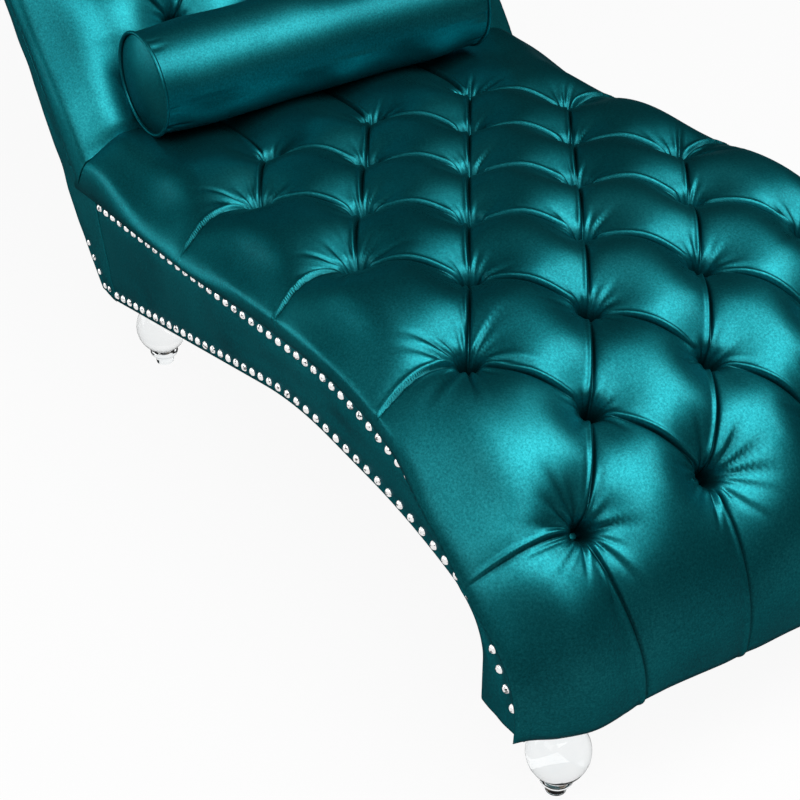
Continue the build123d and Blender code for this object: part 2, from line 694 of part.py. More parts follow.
# Tufted seat pad: diamonds drawn in at the buttons, pleats down the nose, drawn-in sides
with BuildPart() as seat_cover:
    stations = [0.0, SKIRT, SKIRT + SEAT_FIRST_ROW / 2]
    for step in range(2 * SEAT_ROWS - 1):
        stations.append(seat_first + step * ROW / 2)
    nose_step = (SKIRT + seat_length - stations[-1]) / 4
    for step in range(4):
        stations.append(stations[-1] + nose_step)
    stations.append(stations[-1] + drop)
    for station in stations:
        with BuildSketch(section_plane(pad_chain, station)):
            with BuildLine():
                pad_section(seat_edge, (station - seat_first) / ROW, SEAT_ROWS, seat_outer)
            make_face()
    loft(ruled=True)
    with BuildSketch(Plane.XZ):
        with BuildLine():
            floor_start, _ = along(pad_chain, 0.0, -SEAT_FLOOR)
            floor_end = draw(pad_chain, -SEAT_FLOOR)
            Polyline(floor_end, (floor_start[0], LEG_HEIGHT), floor_start)
        make_face()
    extrude(amount=wall_in, both=True, mode=Mode.SUBTRACT)
    with BuildSketch(Plane.XZ):
        with BuildLine():
            rail_zone()
        make_face()
    extrude(amount=WIDTH, both=True, mode=Mode.SUBTRACT)
    split(bisect_by=crease_plane(FACE_GAP))
    with Locations(*seat_buttons_at):
        Cylinder(BUTTON_R + POCKET_GAP, pocket_top, mode=Mode.SUBTRACT,
                 align=(Align.CENTER, Align.CENTER, Align.MIN))
        Cylinder(TIE_R + TIE_GAP, 2 * tie_length, mode=Mode.SUBTRACT)
seat_cover.part.label = "seat_cover"
export_step(seat_cover.part, "parts/seat_cover.step")

# Back board and foam, and the tufted back pad over the rolled top
with BuildPart() as back_board:
    board_chain = (on_back(BACK_RUN - BACK_RAIL_H, 0), down, [(BACK_RUN - BACK_RAIL_H + SKIRT, 0)])
    with BuildSketch(Plane.XZ):
        with BuildLine():
            back_layer(BACK_FLOOR + BACK_FOAM, back_edge - BOARD_GAP, board_chain)
        make_face()
    extrude(amount=wall_in, both=True)
    split(bisect_by=crease_plane(-FACE_GAP), keep=Keep.BOTTOM)
    with Locations(*back_buttons_at):
        Cylinder(TIE_R + TIE_GAP, 2 * tie_length, mode=Mode.SUBTRACT)
back_board.part.label = "back_board"
export_step(back_board.part, "parts/back_board.step")

with BuildPart() as back_foam:
    with BuildSketch(Plane.XZ):
        with BuildLine():
            back_layer(BACK_FLOOR, BACK_FLOOR + BACK_FOAM, back_chain)
        make_face()
    extrude(amount=wall_in, both=True)
    split(bisect_by=crease_plane(-FACE_GAP), keep=Keep.BOTTOM)
    with Locations(*back_buttons_at):
        Cylinder(TIE_R + TIE_GAP, 2 * tie_length, mode=Mode.SUBTRACT)
back_foam.part.label = "back_foam"
export_step(back_foam.part, "parts/back_foam.step")

with BuildPart() as back_cover:
    stations = []
    for step in range(5):
        stations.append(pi * roll_r * step / 4)
    last_row = back_first - (BACK_ROWS - 1) * ROW
    top_step = (last_row - stations[-1]) / 3
    for step in range(2):
        stations.append(stations[-1] + top_step)
    for step in range(2 * BACK_ROWS - 1):
        stations.append(last_row + step * ROW / 2)
    stations.append(back_first + BACK_FIRST_ROW / 2)
    stations.append(back_length)
    stations.append(back_length + SKIRT)
    for station in stations:
        with BuildSketch(section_plane(back_chain, station)):
            with BuildLine():
                pad_section(back_edge, (back_first - station) / ROW, BACK_ROWS, back_outer)
            make_face()
    loft(ruled=True)
    with BuildSketch(Plane.XZ):
        with BuildLine():
            floor_end = draw(back_chain, -BACK_FLOOR)
            Polyline(floor_end, on_back(-SKIRT, BACK_FLOOR - 2 * roll_r),
                     on_back(BACK_RUN, BACK_FLOOR - 2 * roll_r))
        make_face()
    extrude(amount=wall_in, both=True, mode=Mode.SUBTRACT)
    with BuildSketch(Plane.XZ):
        with BuildLine():
            edge_end = draw(back_chain, FACE_GAP - back_edge)
            Polyline(edge_end, on_back(-SKIRT, back_edge - FACE_GAP - 2 * roll_r),
                     on_back(BACK_RUN, back_edge - FACE_GAP - 2 * roll_r))
        make_face()
    extrude(amount=WIDTH, both=True, mode=Mode.SUBTRACT)
    split(bisect_by=crease_plane(-FACE_GAP), keep=Keep.BOTTOM)
    with Locations(*back_buttons_at):
        Cylinder(BUTTON_R + POCKET_GAP, pocket_top, mode=Mode.SUBTRACT,
                 align=(Align.CENTER, Align.CENTER, Align.MIN))
        Cylinder(TIE_R + TIE_GAP, 2 * tie_length, mode=Mode.SUBTRACT)
back_cover.part.label = "back_cover"
export_step(back_cover.part, "parts/back_cover.step")

# Velvet bands on the rails, panels on the posts and the outside of the back
with BuildPart() as side_band_right:
    with BuildSketch(Plane.XZ.offset(rail_out)):
        with BuildLine():
            rail_outline()
        make_face()
    extrude(amount=BAND_THICK)
side_band_right.part.label = "side_band_right"
export_step(side_band_right.part, "parts/side_band_right.step")

with BuildPart() as side_band_left:
    mirror(side_band_right.part, about=Plane.XZ)
side_band_left.part.label = "side_band_left"
export_step(side_band_left.part, "parts/side_band_left.step")

with BuildPart() as back_panel_right:
    with BuildSketch(Plane.XZ.offset(rail_out)):
        with BuildLine():
            post_outline()
        make_face()
    extrude(amount=BAND_THICK)
back_panel_right.part.label = "back_panel_right"
export_step(back_panel_right.part, "parts/back_panel_right.step")

with BuildPart() as back_panel_left:
    mirror(back_panel_right.part, about=Plane.XZ)
back_panel_left.part.label = "back_panel_left"
export_step(back_panel_left.part, "parts/back_panel_left.step")

with BuildPart() as outside_back:
    with BuildSketch(Plane.XZ):
        with BuildLine():
            inner_end = draw(rear_chain)
            outer_end = draw(rear_chain, -BAND_THICK)
            Line(inner_end, outer_end)
            Line(rear_chain[0], on_back(BACK_RUN, -post_rear - BAND_THICK))
        make_face()
    extrude(amount=half, both=True)
outside_back.part.label = "outside_back"
export_step(outside_back.part, "parts/outside_back.step")

# Dust sheet, stretched under the seat between the side rails
with BuildPart() as dust_sheet:
    dust_skip = (post_heel[0] + REAR_RAIL_L - seam_foot[0]) / cos(radians(ARCH_SLOPE)) + DUST_LIFT
    dust_moves = [(ARCH_RUN - dust_skip, 0)] + arch_chain[2][1:]
    dust_chain = (along(arch_chain, dust_skip)[0], ARCH_SLOPE, dust_moves)
    with BuildSketch(Plane.XZ):
        with BuildLine():
            lower_end = draw(dust_chain, DUST_LIFT)
            upper_end = draw(dust_chain, DUST_LIFT + DUST_T)
            Line(lower_end, upper_end)
            Line(along(dust_chain, 0.0, DUST_LIFT)[0], along(dust_chain, 0.0, DUST_LIFT + DUST_T)[0])
        make_face()
    extrude(amount=rail_in, both=True)
dust_sheet.part.label = "dust_sheet"
export_step(dust_sheet.part, "parts/dust_sheet.step")

# Piping along the front edge of the back's panels, over the rolled top
with BuildPart() as welt_right:
    welt_lift = -back_edge - WELT_R - WELT_GAP
    with BuildLine(Plane.XZ.offset(half + WELT_R)) as welt_path:
        Line(on_back(0, welt_lift), on_back(BACK_RUN, welt_lift))
        JernArc(on_back(BACK_RUN, welt_lift), back_dir, roll_r + welt_lift, 180.0)
    with BuildSketch(Plane(origin=welt_path.line @ 0, z_dir=welt_path.line % 0)):
        Circle(WELT_R)
    sweep()
welt_right.part.label = "welt_right"
export_step(welt_right.part, "parts/welt_right.step")

with BuildPart() as welt_left:
    mirror(welt_right.part, about=Plane.XZ)
welt_left.part.label = "welt_left"
export_step(welt_left.part, "parts/welt_left.step")

# Covered buttons with their ties, and the washers that hold the ties
with BuildPart() as button_form:
    with BuildSketch(Plane.XZ):
        with BuildLine():
            Polyline((0, BUTTON_H + BUTTON_DOME), (0, -tie_length), (TIE_R, -tie_length),
                     (TIE_R, 0), (BUTTON_R, 0), (BUTTON_R, BUTTON_H))
            RadiusArc((BUTTON_R, BUTTON_H), (0, BUTTON_H + BUTTON_DOME),
                      -(BUTTON_R ** 2 + BUTTON_DOME ** 2) / (2 * BUTTON_DOME))
        make_face()
    revolve(axis=Axis.Z)

with BuildPart() as seat_buttons:
    with Locations(*seat_buttons_at):
        add(button_form.part)
seat_buttons.part.label = "seat_buttons"
export_step(seat_buttons.part, "parts/seat_buttons.step")

with BuildPart() as back_buttons:
    with Locations(*back_buttons_at):
        add(button_form.part)
back_buttons.part.label = "back_buttons"
export_step(back_buttons.part, "parts/back_buttons.step")

with BuildPart() as washer_form:
    with BuildSketch(Plane.XY):
        Circle(WASHER_R)
        Circle(TIE_R + TIE_GAP, mode=Mode.SUBTRACT)
    extrude(amount=-WASHER_T)

with BuildPart() as seat_tie_washers:
    with Locations(*seat_washers_at):
        add(washer_form.part)
seat_tie_washers.part.label = "seat_tie_washers"
export_step(seat_tie_washers.part, "parts/seat_tie_washers.step")

with BuildPart() as back_tie_washers:
    with Locations(*back_washers_at):
        add(washer_form.part)
back_tie_washers.part.label = "back_tie_washers"
export_step(back_tie_washers.part, "parts/back_tie_washers.step")

# Decorative nails with domed heads, driven through the bands into the rails
with BuildPart() as nail_form:
    with BuildSketch(Plane.XZ):
        with BuildLine():
            Polyline((0, NAIL_DOME), (0, -NAIL_SHANK_L), (NAIL_SHANK_R, -NAIL_SHANK_L),
                     (NAIL_SHANK_R, 0), (NAIL_R, 0))
            RadiusArc((NAIL_R, 0), (0, NAIL_DOME),
                      -(NAIL_R ** 2 + NAIL_DOME ** 2) / (2 * NAIL_DOME))
        make_face()
    revolve(axis=Axis.Z)


def nail_places(points):
    return [Plane(origin=(x, -half, z), x_dir=(1, 0, 0), z_dir=(0, -1, 0)).location
            for x, z in points]


upper_run = SEAT_RUN + radians(1) * (CREST_R * CREST_TURN + KNEE_R * KNEE_TURN)
upper_nails = []
nail_at = SEAM_TOP + NAIL_PITCH / 2
while nail_at < upper_run:
    upper_nails.append(along(seat_chain, SKIRT + nail_at, -seat_edge - NAIL_TOP_INSET)[0])
    nail_at += NAIL_PITCH

neck_length = hypot(neck_foot[0] - neck_top[0], neck_foot[1] - neck_top[1])
neck_dir = ((neck_foot[0] - neck_top[0]) / neck_length, (neck_foot[1] - neck_top[1]) / neck_length)
arch_nails_end = ARCH_RUN + arch_flat + radians(1) * (ARCH_CROWN_R * ARCH_SLOPE
                                                      + ARCH_SHOULDER_R * ARCH_SHOULDER_TURN)
lower_nails = []
for item in range(4):
    lower_nails.append(along(rear_chain, rear_length - NAIL_PITCH * item, NAIL_LOW_INSET)[0])
lower_nails.append(move_by(post_heel, NAIL_PITCH, NAIL_LOW_INSET))
nail_at = NAIL_PITCH / 4
while nail_at < arch_nails_end + 2 * NAIL_PITCH:
    lower_nails.append(along(arch_chain, nail_at, NAIL_LOW_INSET)[0])
    nail_at += NAIL_PITCH
nail_at = neck_length - NAIL_PITCH / 2
while nail_at > 2.4 * NAIL_PITCH:
    lower_nails.append((neck_top[0] + nail_at * neck_dir[0] + NAIL_NECK_INSET * neck_dir[1],
                        neck_top[1] + nail_at * neck_dir[1] - NAIL_NECK_INSET * neck_dir[0]))
    nail_at -= NAIL_PITCH

with BuildPart() as nails_upper_right:
    with Locations(*nail_places(upper_nails)):
        add(nail_form.part)
nails_upper_right.part.label = "nails_upper_right"
export_step(nails_upper_right.part, "parts/nails_upper_right.step")

with BuildPart() as nails_upper_left:
    mirror(nails_upper_right.part, about=Plane.XZ)
nails_upper_left.part.label = "nails_upper_left"
export_step(nails_upper_left.part, "parts/nails_upper_left.step")

with BuildPart() as nails_lower_right:
    with Locations(*nail_places(lower_nails)):
        add(nail_form.part)
nails_lower_right.part.label = "nails_lower_right"
export_step(nails_lower_right.part, "parts/nails_lower_right.step")

with BuildPart() as nails_lower_left:
    mirror(nails_lower_right.part, about=Plane.XZ)
nails_lower_left.part.label = "nails_lower_left"
export_step(nails_lower_left.part, "parts/nails_lower_left.step")

# Screws that hold the rails between the side rails and the posts
with BuildPart() as screw_form:
    with BuildSketch(Plane.XY):
        Circle(SCREW_HEAD_R)
    extrude(amount=-SCREW_HEAD_T)
    with BuildSketch(Plane.XY):
        Circle(SCREW_R)
    extrude(amount=-SCREW_L)

with BuildPart() as frame_screws:
    screw_spots = []
    for x, z in rail_screws + post_screws:
        for side in (-1, 1):
            screw_spots.append(Plane(origin=(x, side * rail_out, z), x_dir=(1, 0, 0),
                                     z_dir=(0, side, 0)).location)
    with Locations(*screw_spots):
        add(screw_form.part)
frame_screws.part.label = "frame_screws"
export_step(frame_screws.part, "parts/frame_screws.step")

# Turned clear feet, their hanger bolts and the threaded inserts in the rails
with BuildPart() as leg_form:
    ring_top = LEG_TIP_H + LEG_RING_H
    bun_top = ring_top + LEG_BUN_H
    plate_low = LEG_HEIGHT - LEG_PLATE_H
    with BuildSketch(Plane.XZ):
        with BuildLine():
            Line((0, LEG_HEIGHT), (0, 0))
            Line((0, 0), (LEG_TIP_R - 2, 0))
            Line((LEG_TIP_R - 2, 0), (LEG_TIP_R, LEG_TIP_H))
            ThreePointArc((LEG_TIP_R, LEG_TIP_H), (LEG_RING_R, LEG_TIP_H + LEG_RING_H / 2),
                          (LEG_BUN_NECK_R, ring_top))
            ThreePointArc((LEG_BUN_NECK_R, ring_top), (LEG_BUN_R, ring_top + LEG_BUN_H / 2),
                          (LEG_BUN_NECK_R, bun_top))
            ThreePointArc((LEG_BUN_NECK_R, bun_top), (LEG_COLLAR_R, (bun_top + plate_low) / 2 + 1),
                          (LEG_PLATE_R, plate_low))
            Polyline((LEG_PLATE_R, plate_low), (LEG_PLATE_R, LEG_HEIGHT), (0, LEG_HEIGHT))
        make_face()
    revolve(axis=Axis.Z)
    with Locations((0, 0, LEG_HEIGHT)):
        Cylinder(BOLT_R + BOLT_GAP, BOLT_IN_LEG, mode=Mode.SUBTRACT,
                 align=(Align.CENTER, Align.CENTER, Align.MAX))

with BuildPart() as leg_front_right:
    with Locations((leg_front_x, -leg_spread, 0)):
        add(leg_form.part)
leg_front_right.part.label = "leg_front_right"
export_step(leg_front_right.part, "parts/leg_front_right.step")

with BuildPart() as leg_front_left:
    with Locations((leg_front_x, leg_spread, 0)):
        add(leg_form.part)
leg_front_left.part.label = "leg_front_left"
export_step(leg_front_left.part, "parts/leg_front_left.step")

with BuildPart() as leg_rear_right:
    with Locations((leg_rear_x, -leg_spread, 0)):
        add(leg_form.part)
leg_rear_right.part.label = "leg_rear_right"
export_step(leg_rear_right.part, "parts/leg_rear_right.step")

with BuildPart() as leg_rear_left:
    with Locations((leg_rear_x, leg_spread, 0)):
        add(leg_form.part)
leg_rear_left.part.label = "leg_rear_left"
export_step(leg_rear_left.part, "parts/leg_rear_left.step")

leg_spots = [(x, y, LEG_HEIGHT) for x in (leg_front_x, leg_rear_x) for y in (-leg_spread, leg_spread)]

with BuildPart() as leg_bolts:
    with Locations(*leg_spots):
        Cylinder(BOLT_R, INSERT_L, align=(Align.CENTER, Align.CENTER, Align.MIN))
        Cylinder(BOLT_R, BOLT_IN_LEG, align=(Align.CENTER, Align.CENTER, Align.MAX))
leg_bolts.part.label = "leg_bolts"
export_step(leg_bolts.part, "parts/leg_bolts.step")

with BuildPart() as leg_inserts:
    with Locations(*leg_spots):
        Cylinder(INSERT_R, INSERT_L, align=(Align.CENTER, Align.CENTER, Align.MIN))
        Cylinder(BOLT_R + BOLT_GAP, INSERT_L, mode=Mode.SUBTRACT,
                 align=(Align.CENTER, Align.CENTER, Align.MIN))
leg_inserts.part.label = "leg_inserts"
export_step(leg_inserts.part, "parts/leg_inserts.step")

# Loose bolster in the crease: filling, cover and a piping ring at each end
bolster_mid = meet(BOLSTER_R + SEAT_REAR_PAD - BOLSTER_SETTLE,
                   BOLSTER_R + BACK_LOW_PAD - BOLSTER_SETTLE)
bolster_plane = Plane(origin=(bolster_mid[0], BOLSTER_SIDE, bolster_mid[1]), x_dir=(0, 1, 0),
                      z_dir=(1, 0, 0))
bolster_axis = Axis((bolster_mid[0], BOLSTER_SIDE, bolster_mid[1]), (0, 1, 0))


def bolster_half(trim):
    """Half of the bolster's outline, trimmed all round: barrel side and domed ends."""
    end = BOLSTER_L / 2 - trim
    rim = BOLSTER_END_R - trim
    ball = (rim ** 2 + BOLSTER_DOME ** 2) / (2 * BOLSTER_DOME)
    half_turn = asin(rim / ball) / 2
    tip = end + BOLSTER_DOME
    dome_mid = (tip - ball + ball * cos(half_turn), ball * sin(half_turn))
    full = end - BOLSTER_TAPER
    Line((tip, 0), (-tip, 0))
    ThreePointArc((-tip, 0), (-dome_mid[0], dome_mid[1]), (-end, rim))
    Polyline((-end, rim), (-full, BOLSTER_R - trim), (full, BOLSTER_R - trim), (end, rim))
    ThreePointArc((end, rim), dome_mid, (tip, 0))


def bolster_ring(side):
    with Locations((side * BOLSTER_L / 2, BOLSTER_END_R)):
        Circle(BOLSTER_WELT_R)


with BuildPart() as bolster_filling:
    with BuildSketch(bolster_plane):
        with BuildLine():
            bolster_half(BOLSTER_COVER)
        make_face()
    revolve(axis=bolster_axis)
bolster_filling.part.label = "bolster_filling"
export_step(bolster_filling.part, "parts/bolster_filling.step")

with BuildPart() as bolster_cover:
    with BuildSketch(bolster_plane):
        with BuildLine():
            bolster_half(0)
        make_face()
        with BuildLine():
            bolster_half(BOLSTER_COVER)
        make_face(mode=Mode.SUBTRACT)
        for side in (-1, 1):
            with Locations((side * BOLSTER_L / 2, BOLSTER_END_R)):
                Circle(BOLSTER_WELT_R + BOLSTER_WELT_GAP, mode=Mode.SUBTRACT)
    revolve(axis=bolster_axis)
bolster_cover.part.label = "bolster_cover"
export_step(bolster_cover.part, "parts/bolster_cover.step")

with BuildPart() as bolster_piping_right:
    with BuildSketch(bolster_plane):
        bolster_ring(-1)
    revolve(axis=bolster_axis)
bolster_piping_right.part.label = "bolster_piping_right"
export_step(bolster_piping_right.part, "parts/bolster_piping_right.step")

with BuildPart() as bolster_piping_left:
    with BuildSketch(bolster_plane):
        bolster_ring(1)
    revolve(axis=bolster_axis)
bolster_piping_left.part.label = "bolster_piping_left"
export_step(bolster_piping_left.part, "parts/bolster_piping_left.step")
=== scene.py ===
import bpy
import json
import random
from math import cos, hypot, pi, radians, sin
import numpy as np
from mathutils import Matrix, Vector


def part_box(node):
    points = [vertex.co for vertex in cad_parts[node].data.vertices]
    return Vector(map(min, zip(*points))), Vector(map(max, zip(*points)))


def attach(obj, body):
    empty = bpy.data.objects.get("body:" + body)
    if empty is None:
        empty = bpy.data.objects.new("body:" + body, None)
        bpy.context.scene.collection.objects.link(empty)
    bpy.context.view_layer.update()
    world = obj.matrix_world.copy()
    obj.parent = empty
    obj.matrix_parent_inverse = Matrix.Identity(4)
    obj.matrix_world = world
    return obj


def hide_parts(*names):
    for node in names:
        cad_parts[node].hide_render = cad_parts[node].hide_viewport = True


# Chaise longue: tufted velvet seat and back, loose bolster, arched velvet sides with nail trim,
# turned clear feet. Sizes below are millimetres in the part's own frame; meshes are in metres.

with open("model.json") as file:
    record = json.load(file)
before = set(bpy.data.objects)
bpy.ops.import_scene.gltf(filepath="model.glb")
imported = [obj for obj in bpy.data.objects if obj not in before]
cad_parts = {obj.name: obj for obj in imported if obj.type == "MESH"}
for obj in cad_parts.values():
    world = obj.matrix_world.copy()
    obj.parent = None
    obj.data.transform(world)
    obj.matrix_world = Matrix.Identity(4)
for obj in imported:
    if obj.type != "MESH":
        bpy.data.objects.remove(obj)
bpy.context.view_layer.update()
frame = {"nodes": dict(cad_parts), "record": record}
nodes = frame["nodes"]
random.seed(7)
MM = 0.001

HALF = 320.0                       # outer faces of the side bands
FLOOR_TO_RAIL = 118.0
CREASE = (-232.341, 306.0)
SEAT_SLOPE = 8.5
RECLINE = 39.4
SEAT_RUN = 509.0
SEAT_BENDS = [(600.0, -29.5), (280.0, -19.0), (190.0, -50.0)]
BACK_RUN = 580.0
ROLL_R = 66.0
ROW = 108.0
COLUMN = 73.2                      # half the spacing of the buttons in a row
SEAT_FIRST = 152.0                 # first button row, from the crease
BACK_FIRST = 130.0
SEAT_ROWS = 8
BACK_ROWS = 4
SEAT_EDGE = 56.0                   # foot of the seat pad's side walls, below the button line
BACK_EDGE = 45.0
POST_REAR = 87.0
POST_HALF = 21.0                   # half the thickness of a back post
SEAM_AHEAD = 50.0                  # ahead of the crease: seam of band and back panel, rear rail's rear face
HEEL_AHEAD = 12.0
REAR_RAIL_L = 55.0
FOOT_LENGTH = 68.0                 # side rails' front foot


# Side-view lines

def follow(chain, distance):
    """Side-view points and headings at distances along a chain of straight runs and arcs."""
    (x, z), heading, moves = chain
    distance = np.asarray(distance, float)
    px = np.full(distance.shape, x)
    pz = np.full(distance.shape, z)
    turned = np.full(distance.shape, radians(heading))
    start = radians(heading)
    done = 0.0
    for size, turn in moves:
        length = size if turn == 0 else size * radians(abs(turn))
        step = np.clip(distance - done, 0, length)
        if turn == 0:
            px += step * cos(start)
            pz += step * sin(start)
        else:
            side = 1 if turn > 0 else -1
            angle = side * step / size
            px += side * size * (np.sin(start + angle) - sin(start))
            pz -= side * size * (np.cos(start + angle) - cos(start))
            turned += angle
            start += radians(turn)
        done += length
    return px, pz, turned


def length_of(moves):
    return sum(size if turn == 0 else size * radians(abs(turn)) for size, turn in moves)


def on_back(up, lift):
    """Side-view point above the crease along the back, and in front of its button line."""
    a = radians(RECLINE)
    return (CREASE[0] - up * sin(a) + lift * cos(a), CREASE[1] + up * cos(a) + lift * sin(a))


def on_seat(ahead, lift):
    a = radians(SEAT_SLOPE)
    return (CREASE[0] + ahead * cos(a) - lift * sin(a), CREASE[1] + ahead * sin(a) + lift * cos(a))


def smooth_line(points, count):
    """A smooth line through points, as count points at even distances."""
    points = np.array(points, float)
    ends = np.vstack([2 * points[0] - points[1], points, 2 * points[-1] - points[-2]])
    fine = []
    for k in range(1, len(ends) - 2):
        p0, p1, p2, p3 = ends[k - 1:k + 3]
        for t in np.linspace(0, 1, 24, endpoint=False):
            fine.append(0.5 * (2 * p1 + (p2 - p0) * t + (2 * p0 - 5 * p1 + 4 * p2 - p3) * t ** 2
                               + (3 * p1 - p0 - 3 * p2 + p3) * t ** 3))
    fine.append(points[-1])
    return even_line(fine, count)


def even_line(points, count):
    points = np.array(points, float)
    gone = np.concatenate([[0], np.cumsum(np.linalg.norm(np.diff(points, axis=0), axis=1))])
    at = np.linspace(0, gone[-1], count)
    return np.stack([np.interp(at, gone, points[:, k]) for k in range(points.shape[1])], axis=1)


def step_up(value, low, high):
    t = np.clip((value - low) / (high - low), 0, 1)
    return t * t * (3 - 2 * t)


# Meshes

def mesh_piece(name, verts, faces, body, material):
    """A new piece from points in millimetres, riding on a body."""
    mesh = bpy.data.meshes.new(name)
    mesh.from_pydata([tuple(v) for v in np.asarray(verts) * MM], [], faces)
    mesh.validate()
    mesh.polygons.foreach_set("use_smooth", [True] * len(mesh.polygons))
    mesh.update()
    piece = bpy.data.objects.new(name, mesh)
    bpy.context.scene.collection.objects.link(piece)
    piece.data.materials.append(material)
    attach(piece, body)
    return piece


def ring_faces(stations, columns, closed=True, caps=True):
    """Faces of a grid of stations by columns; closed runs round each station."""
    faces = []
    last = columns if closed else columns - 1
    for i in range(stations - 1):
        for j in range(last):
            k = (j + 1) % columns
            faces.append((i * columns + j, (i + 1) * columns + j, (i + 1) * columns + k, i * columns + k))
    if caps:
        faces.append(tuple(range(columns)))
        faces.append(tuple((stations - 1) * columns + j for j in reversed(range(columns))))
    return faces


def soft_noise(shape, cell, seed):
    """Smooth random field of about unit size, with features of so many samples."""
    rng = np.random.default_rng(seed)
    small = rng.standard_normal((int(shape[0] / cell) + 4, int(shape[1] / cell) + 4))
    rows = np.linspace(0, small.shape[0] - 3.001, shape[0])
    cols = np.linspace(0, small.shape[1] - 3.001, shape[1])
    i = rows.astype(int)
    j = cols.astype(int)
    a = (rows - i)[:, None]
    b = (cols - j)[None, :]
    a = a * a * (3 - 2 * a)
    b = b * b * (3 - 2 * b)
    return ((1 - a) * (1 - b) * small[np.ix_(i, j)] + a * (1 - b) * small[np.ix_(i + 1, j)]
            + (1 - a) * b * small[np.ix_(i, j + 1)] + a * b * small[np.ix_(i + 1, j + 1)])


# Materials

def new_material(name):
    material = bpy.data.materials.new(name)
    material.use_nodes = True
    tree = material.node_tree
    tree.nodes.clear()
    out = tree.nodes.new("ShaderNodeOutputMaterial")
    shader = tree.nodes.new("ShaderNodeBsdfPrincipled")
    tree.links.new(shader.outputs["BSDF"], out.inputs["Surface"])
    coords = tree.nodes.new("ShaderNodeTexCoord")
    return material, tree, shader, coords


def noise(tree, coords, scale, detail=3.0, rough=0.55):
    node = tree.nodes.new("ShaderNodeTexNoise")
    node.inputs["Scale"].default_value = scale
    node.inputs["Detail"].default_value = detail
    node.inputs["Roughness"].default_value = rough
    tree.links.new(coords.outputs["Object"], node.inputs["Vector"])
    return node.outputs["Fac"]


def ramp(tree, value, stops):
    node = tree.nodes.new("ShaderNodeValToRGB")
    while len(node.color_ramp.elements) < len(stops):
        node.color_ramp.elements.new(0.5)
    for element, (place, colour) in zip(node.color_ramp.elements, stops):
        element.position = place
        element.color = (*colour, 1.0)
    tree.links.new(value, node.inputs["Fac"])
    return node.outputs["Color"]


def mix_values(tree, one, two, share):
    node = tree.nodes.new("ShaderNodeMix")
    node.inputs["Factor"].default_value = share
    tree.links.new(one, node.inputs["A"])
    tree.links.new(two, node.inputs["B"])
    return node.outputs["Result"]


def spread(tree, value, low, high):
    node = tree.nodes.new("ShaderNodeMapRange")
    node.inputs["From Min"].default_value = 0.3
    node.inputs["From Max"].default_value = 0.7
    node.inputs["To Min"].default_value = low
    node.inputs["To Max"].default_value = high
    tree.links.new(value, node.inputs["Value"])
    return node.outputs["Result"]


def bump(tree, shader, value, strength, depth):
    node = tree.nodes.new("ShaderNodeBump")
    node.inputs["Strength"].default_value = strength
    node.inputs["Distance"].default_value = depth
    tree.links.new(value, node.inputs["Height"])
    tree.links.new(node.outputs["Normal"], shader.inputs["Normal"])


def velvet_material(name, tone, smooth, rough):
    """Velvet: its pile throws light back in its own colour, as a soft tinted gloss over a dark ground.
    tone scales the colour per piece as painted light, lighter on pieces made to look more lit; a mesh
    attribute paints shade into button pits, pleat grooves and creases."""
    material, tree, shader, coords = new_material(name)
    brushed = noise(tree, coords, 6.0, 3.0)
    nap = noise(tree, coords, 420.0, 5.0, 0.75)
    pile = noise(tree, coords, 1500.0, 2.0, 0.7)
    shade = mix_values(tree, brushed, nap, 0.65)
    stops = [(0.37, (0.004, 0.156, 0.185)), (0.5, (0.009, 0.250, 0.287)), (0.63, (0.022, 0.367, 0.412))]
    # tone scales the colour as painted light: over 1 on pieces made to look more lit, under 1 on the bolster.
    stops = [(place, tuple(tone * channel for channel in colour)) for place, colour in stops]
    # Painted shade: a mesh attribute mixes the colour towards near black in button pits, pleat grooves and
    # creases.
    painted_shade = tree.nodes.new("ShaderNodeAttribute")
    painted_shade.attribute_name = "painted_shade"
    blend = tree.nodes.new("ShaderNodeMix")
    blend.data_type = "RGBA"
    colour_a, painted_shade_colour, colour_out = (blend.inputs[6], blend.inputs[7], blend.outputs[2])
    painted_shade_colour.default_value = (0.0, 0.008, 0.010, 1.0)
    tree.links.new(painted_shade.outputs["Fac"], blend.inputs["Factor"])
    tree.links.new(ramp(tree, shade, stops), colour_a)
    tree.links.new(colour_out, shader.inputs["Base Color"])
    tree.links.new(spread(tree, shade, rough, smooth), shader.inputs["Roughness"])
    bump(tree, shader, mix_values(tree, nap, pile, 0.5), 0.25, 0.0006)
    shader.inputs["Metallic"].default_value = 0.98
    shader.inputs["Specular IOR Level"].default_value = 0.2
    shader.inputs["Specular Tint"].default_value = (0.0, 0.08, 0.10, 1.0)
    shader.inputs["Sheen Weight"].default_value = 0.02
    shader.inputs["Sheen Roughness"].default_value = 0.4
    shader.inputs["Sheen Tint"].default_value = (0.05, 0.55, 0.60, 1.0)
    shader.inputs["Coat Weight"].default_value = 0.12
    shader.inputs["Coat Roughness"].default_value = 0.3
    return material


def acrylic_material():
    material, tree, shader, coords = new_material("clear_acrylic")
    haze = noise(tree, coords, 40.0, 2.0)
    tree.links.new(spread(tree, haze, 0.015, 0.05), shader.inputs["Roughness"])
    tree.links.new(ramp(tree, haze, [(0.3, (0.93, 0.96, 0.97)), (0.7, (0.99, 1.0, 1.0))]),
                   shader.inputs["Base Color"])
    shader.inputs["IOR"].default_value = 1.49
    shader.inputs["Transmission Weight"].default_value = 1.0
    return material


def nail_material():
    """Polished domes, mirror bright apart from small scuffs."""
    material, tree, shader, coords = new_material("polished_nails")
    scuff = noise(tree, coords, 300.0, 3.0)
    tree.links.new(ramp(tree, scuff, [(0.3, (0.80, 0.79, 0.78)), (0.7, (0.92, 0.92, 0.92))]),
                   shader.inputs["Base Color"])
    worn = tree.nodes.new("ShaderNodeMapRange")
    for socket, value in (("From Min", 0.58), ("From Max", 0.72), ("To Min", 0.0), ("To Max", 0.20)):
        worn.inputs[socket].default_value = value
    tree.links.new(scuff, worn.inputs["Value"])
    tree.links.new(worn.outputs["Result"], shader.inputs["Roughness"])
    shader.inputs["Metallic"].default_value = 1.0
    return material


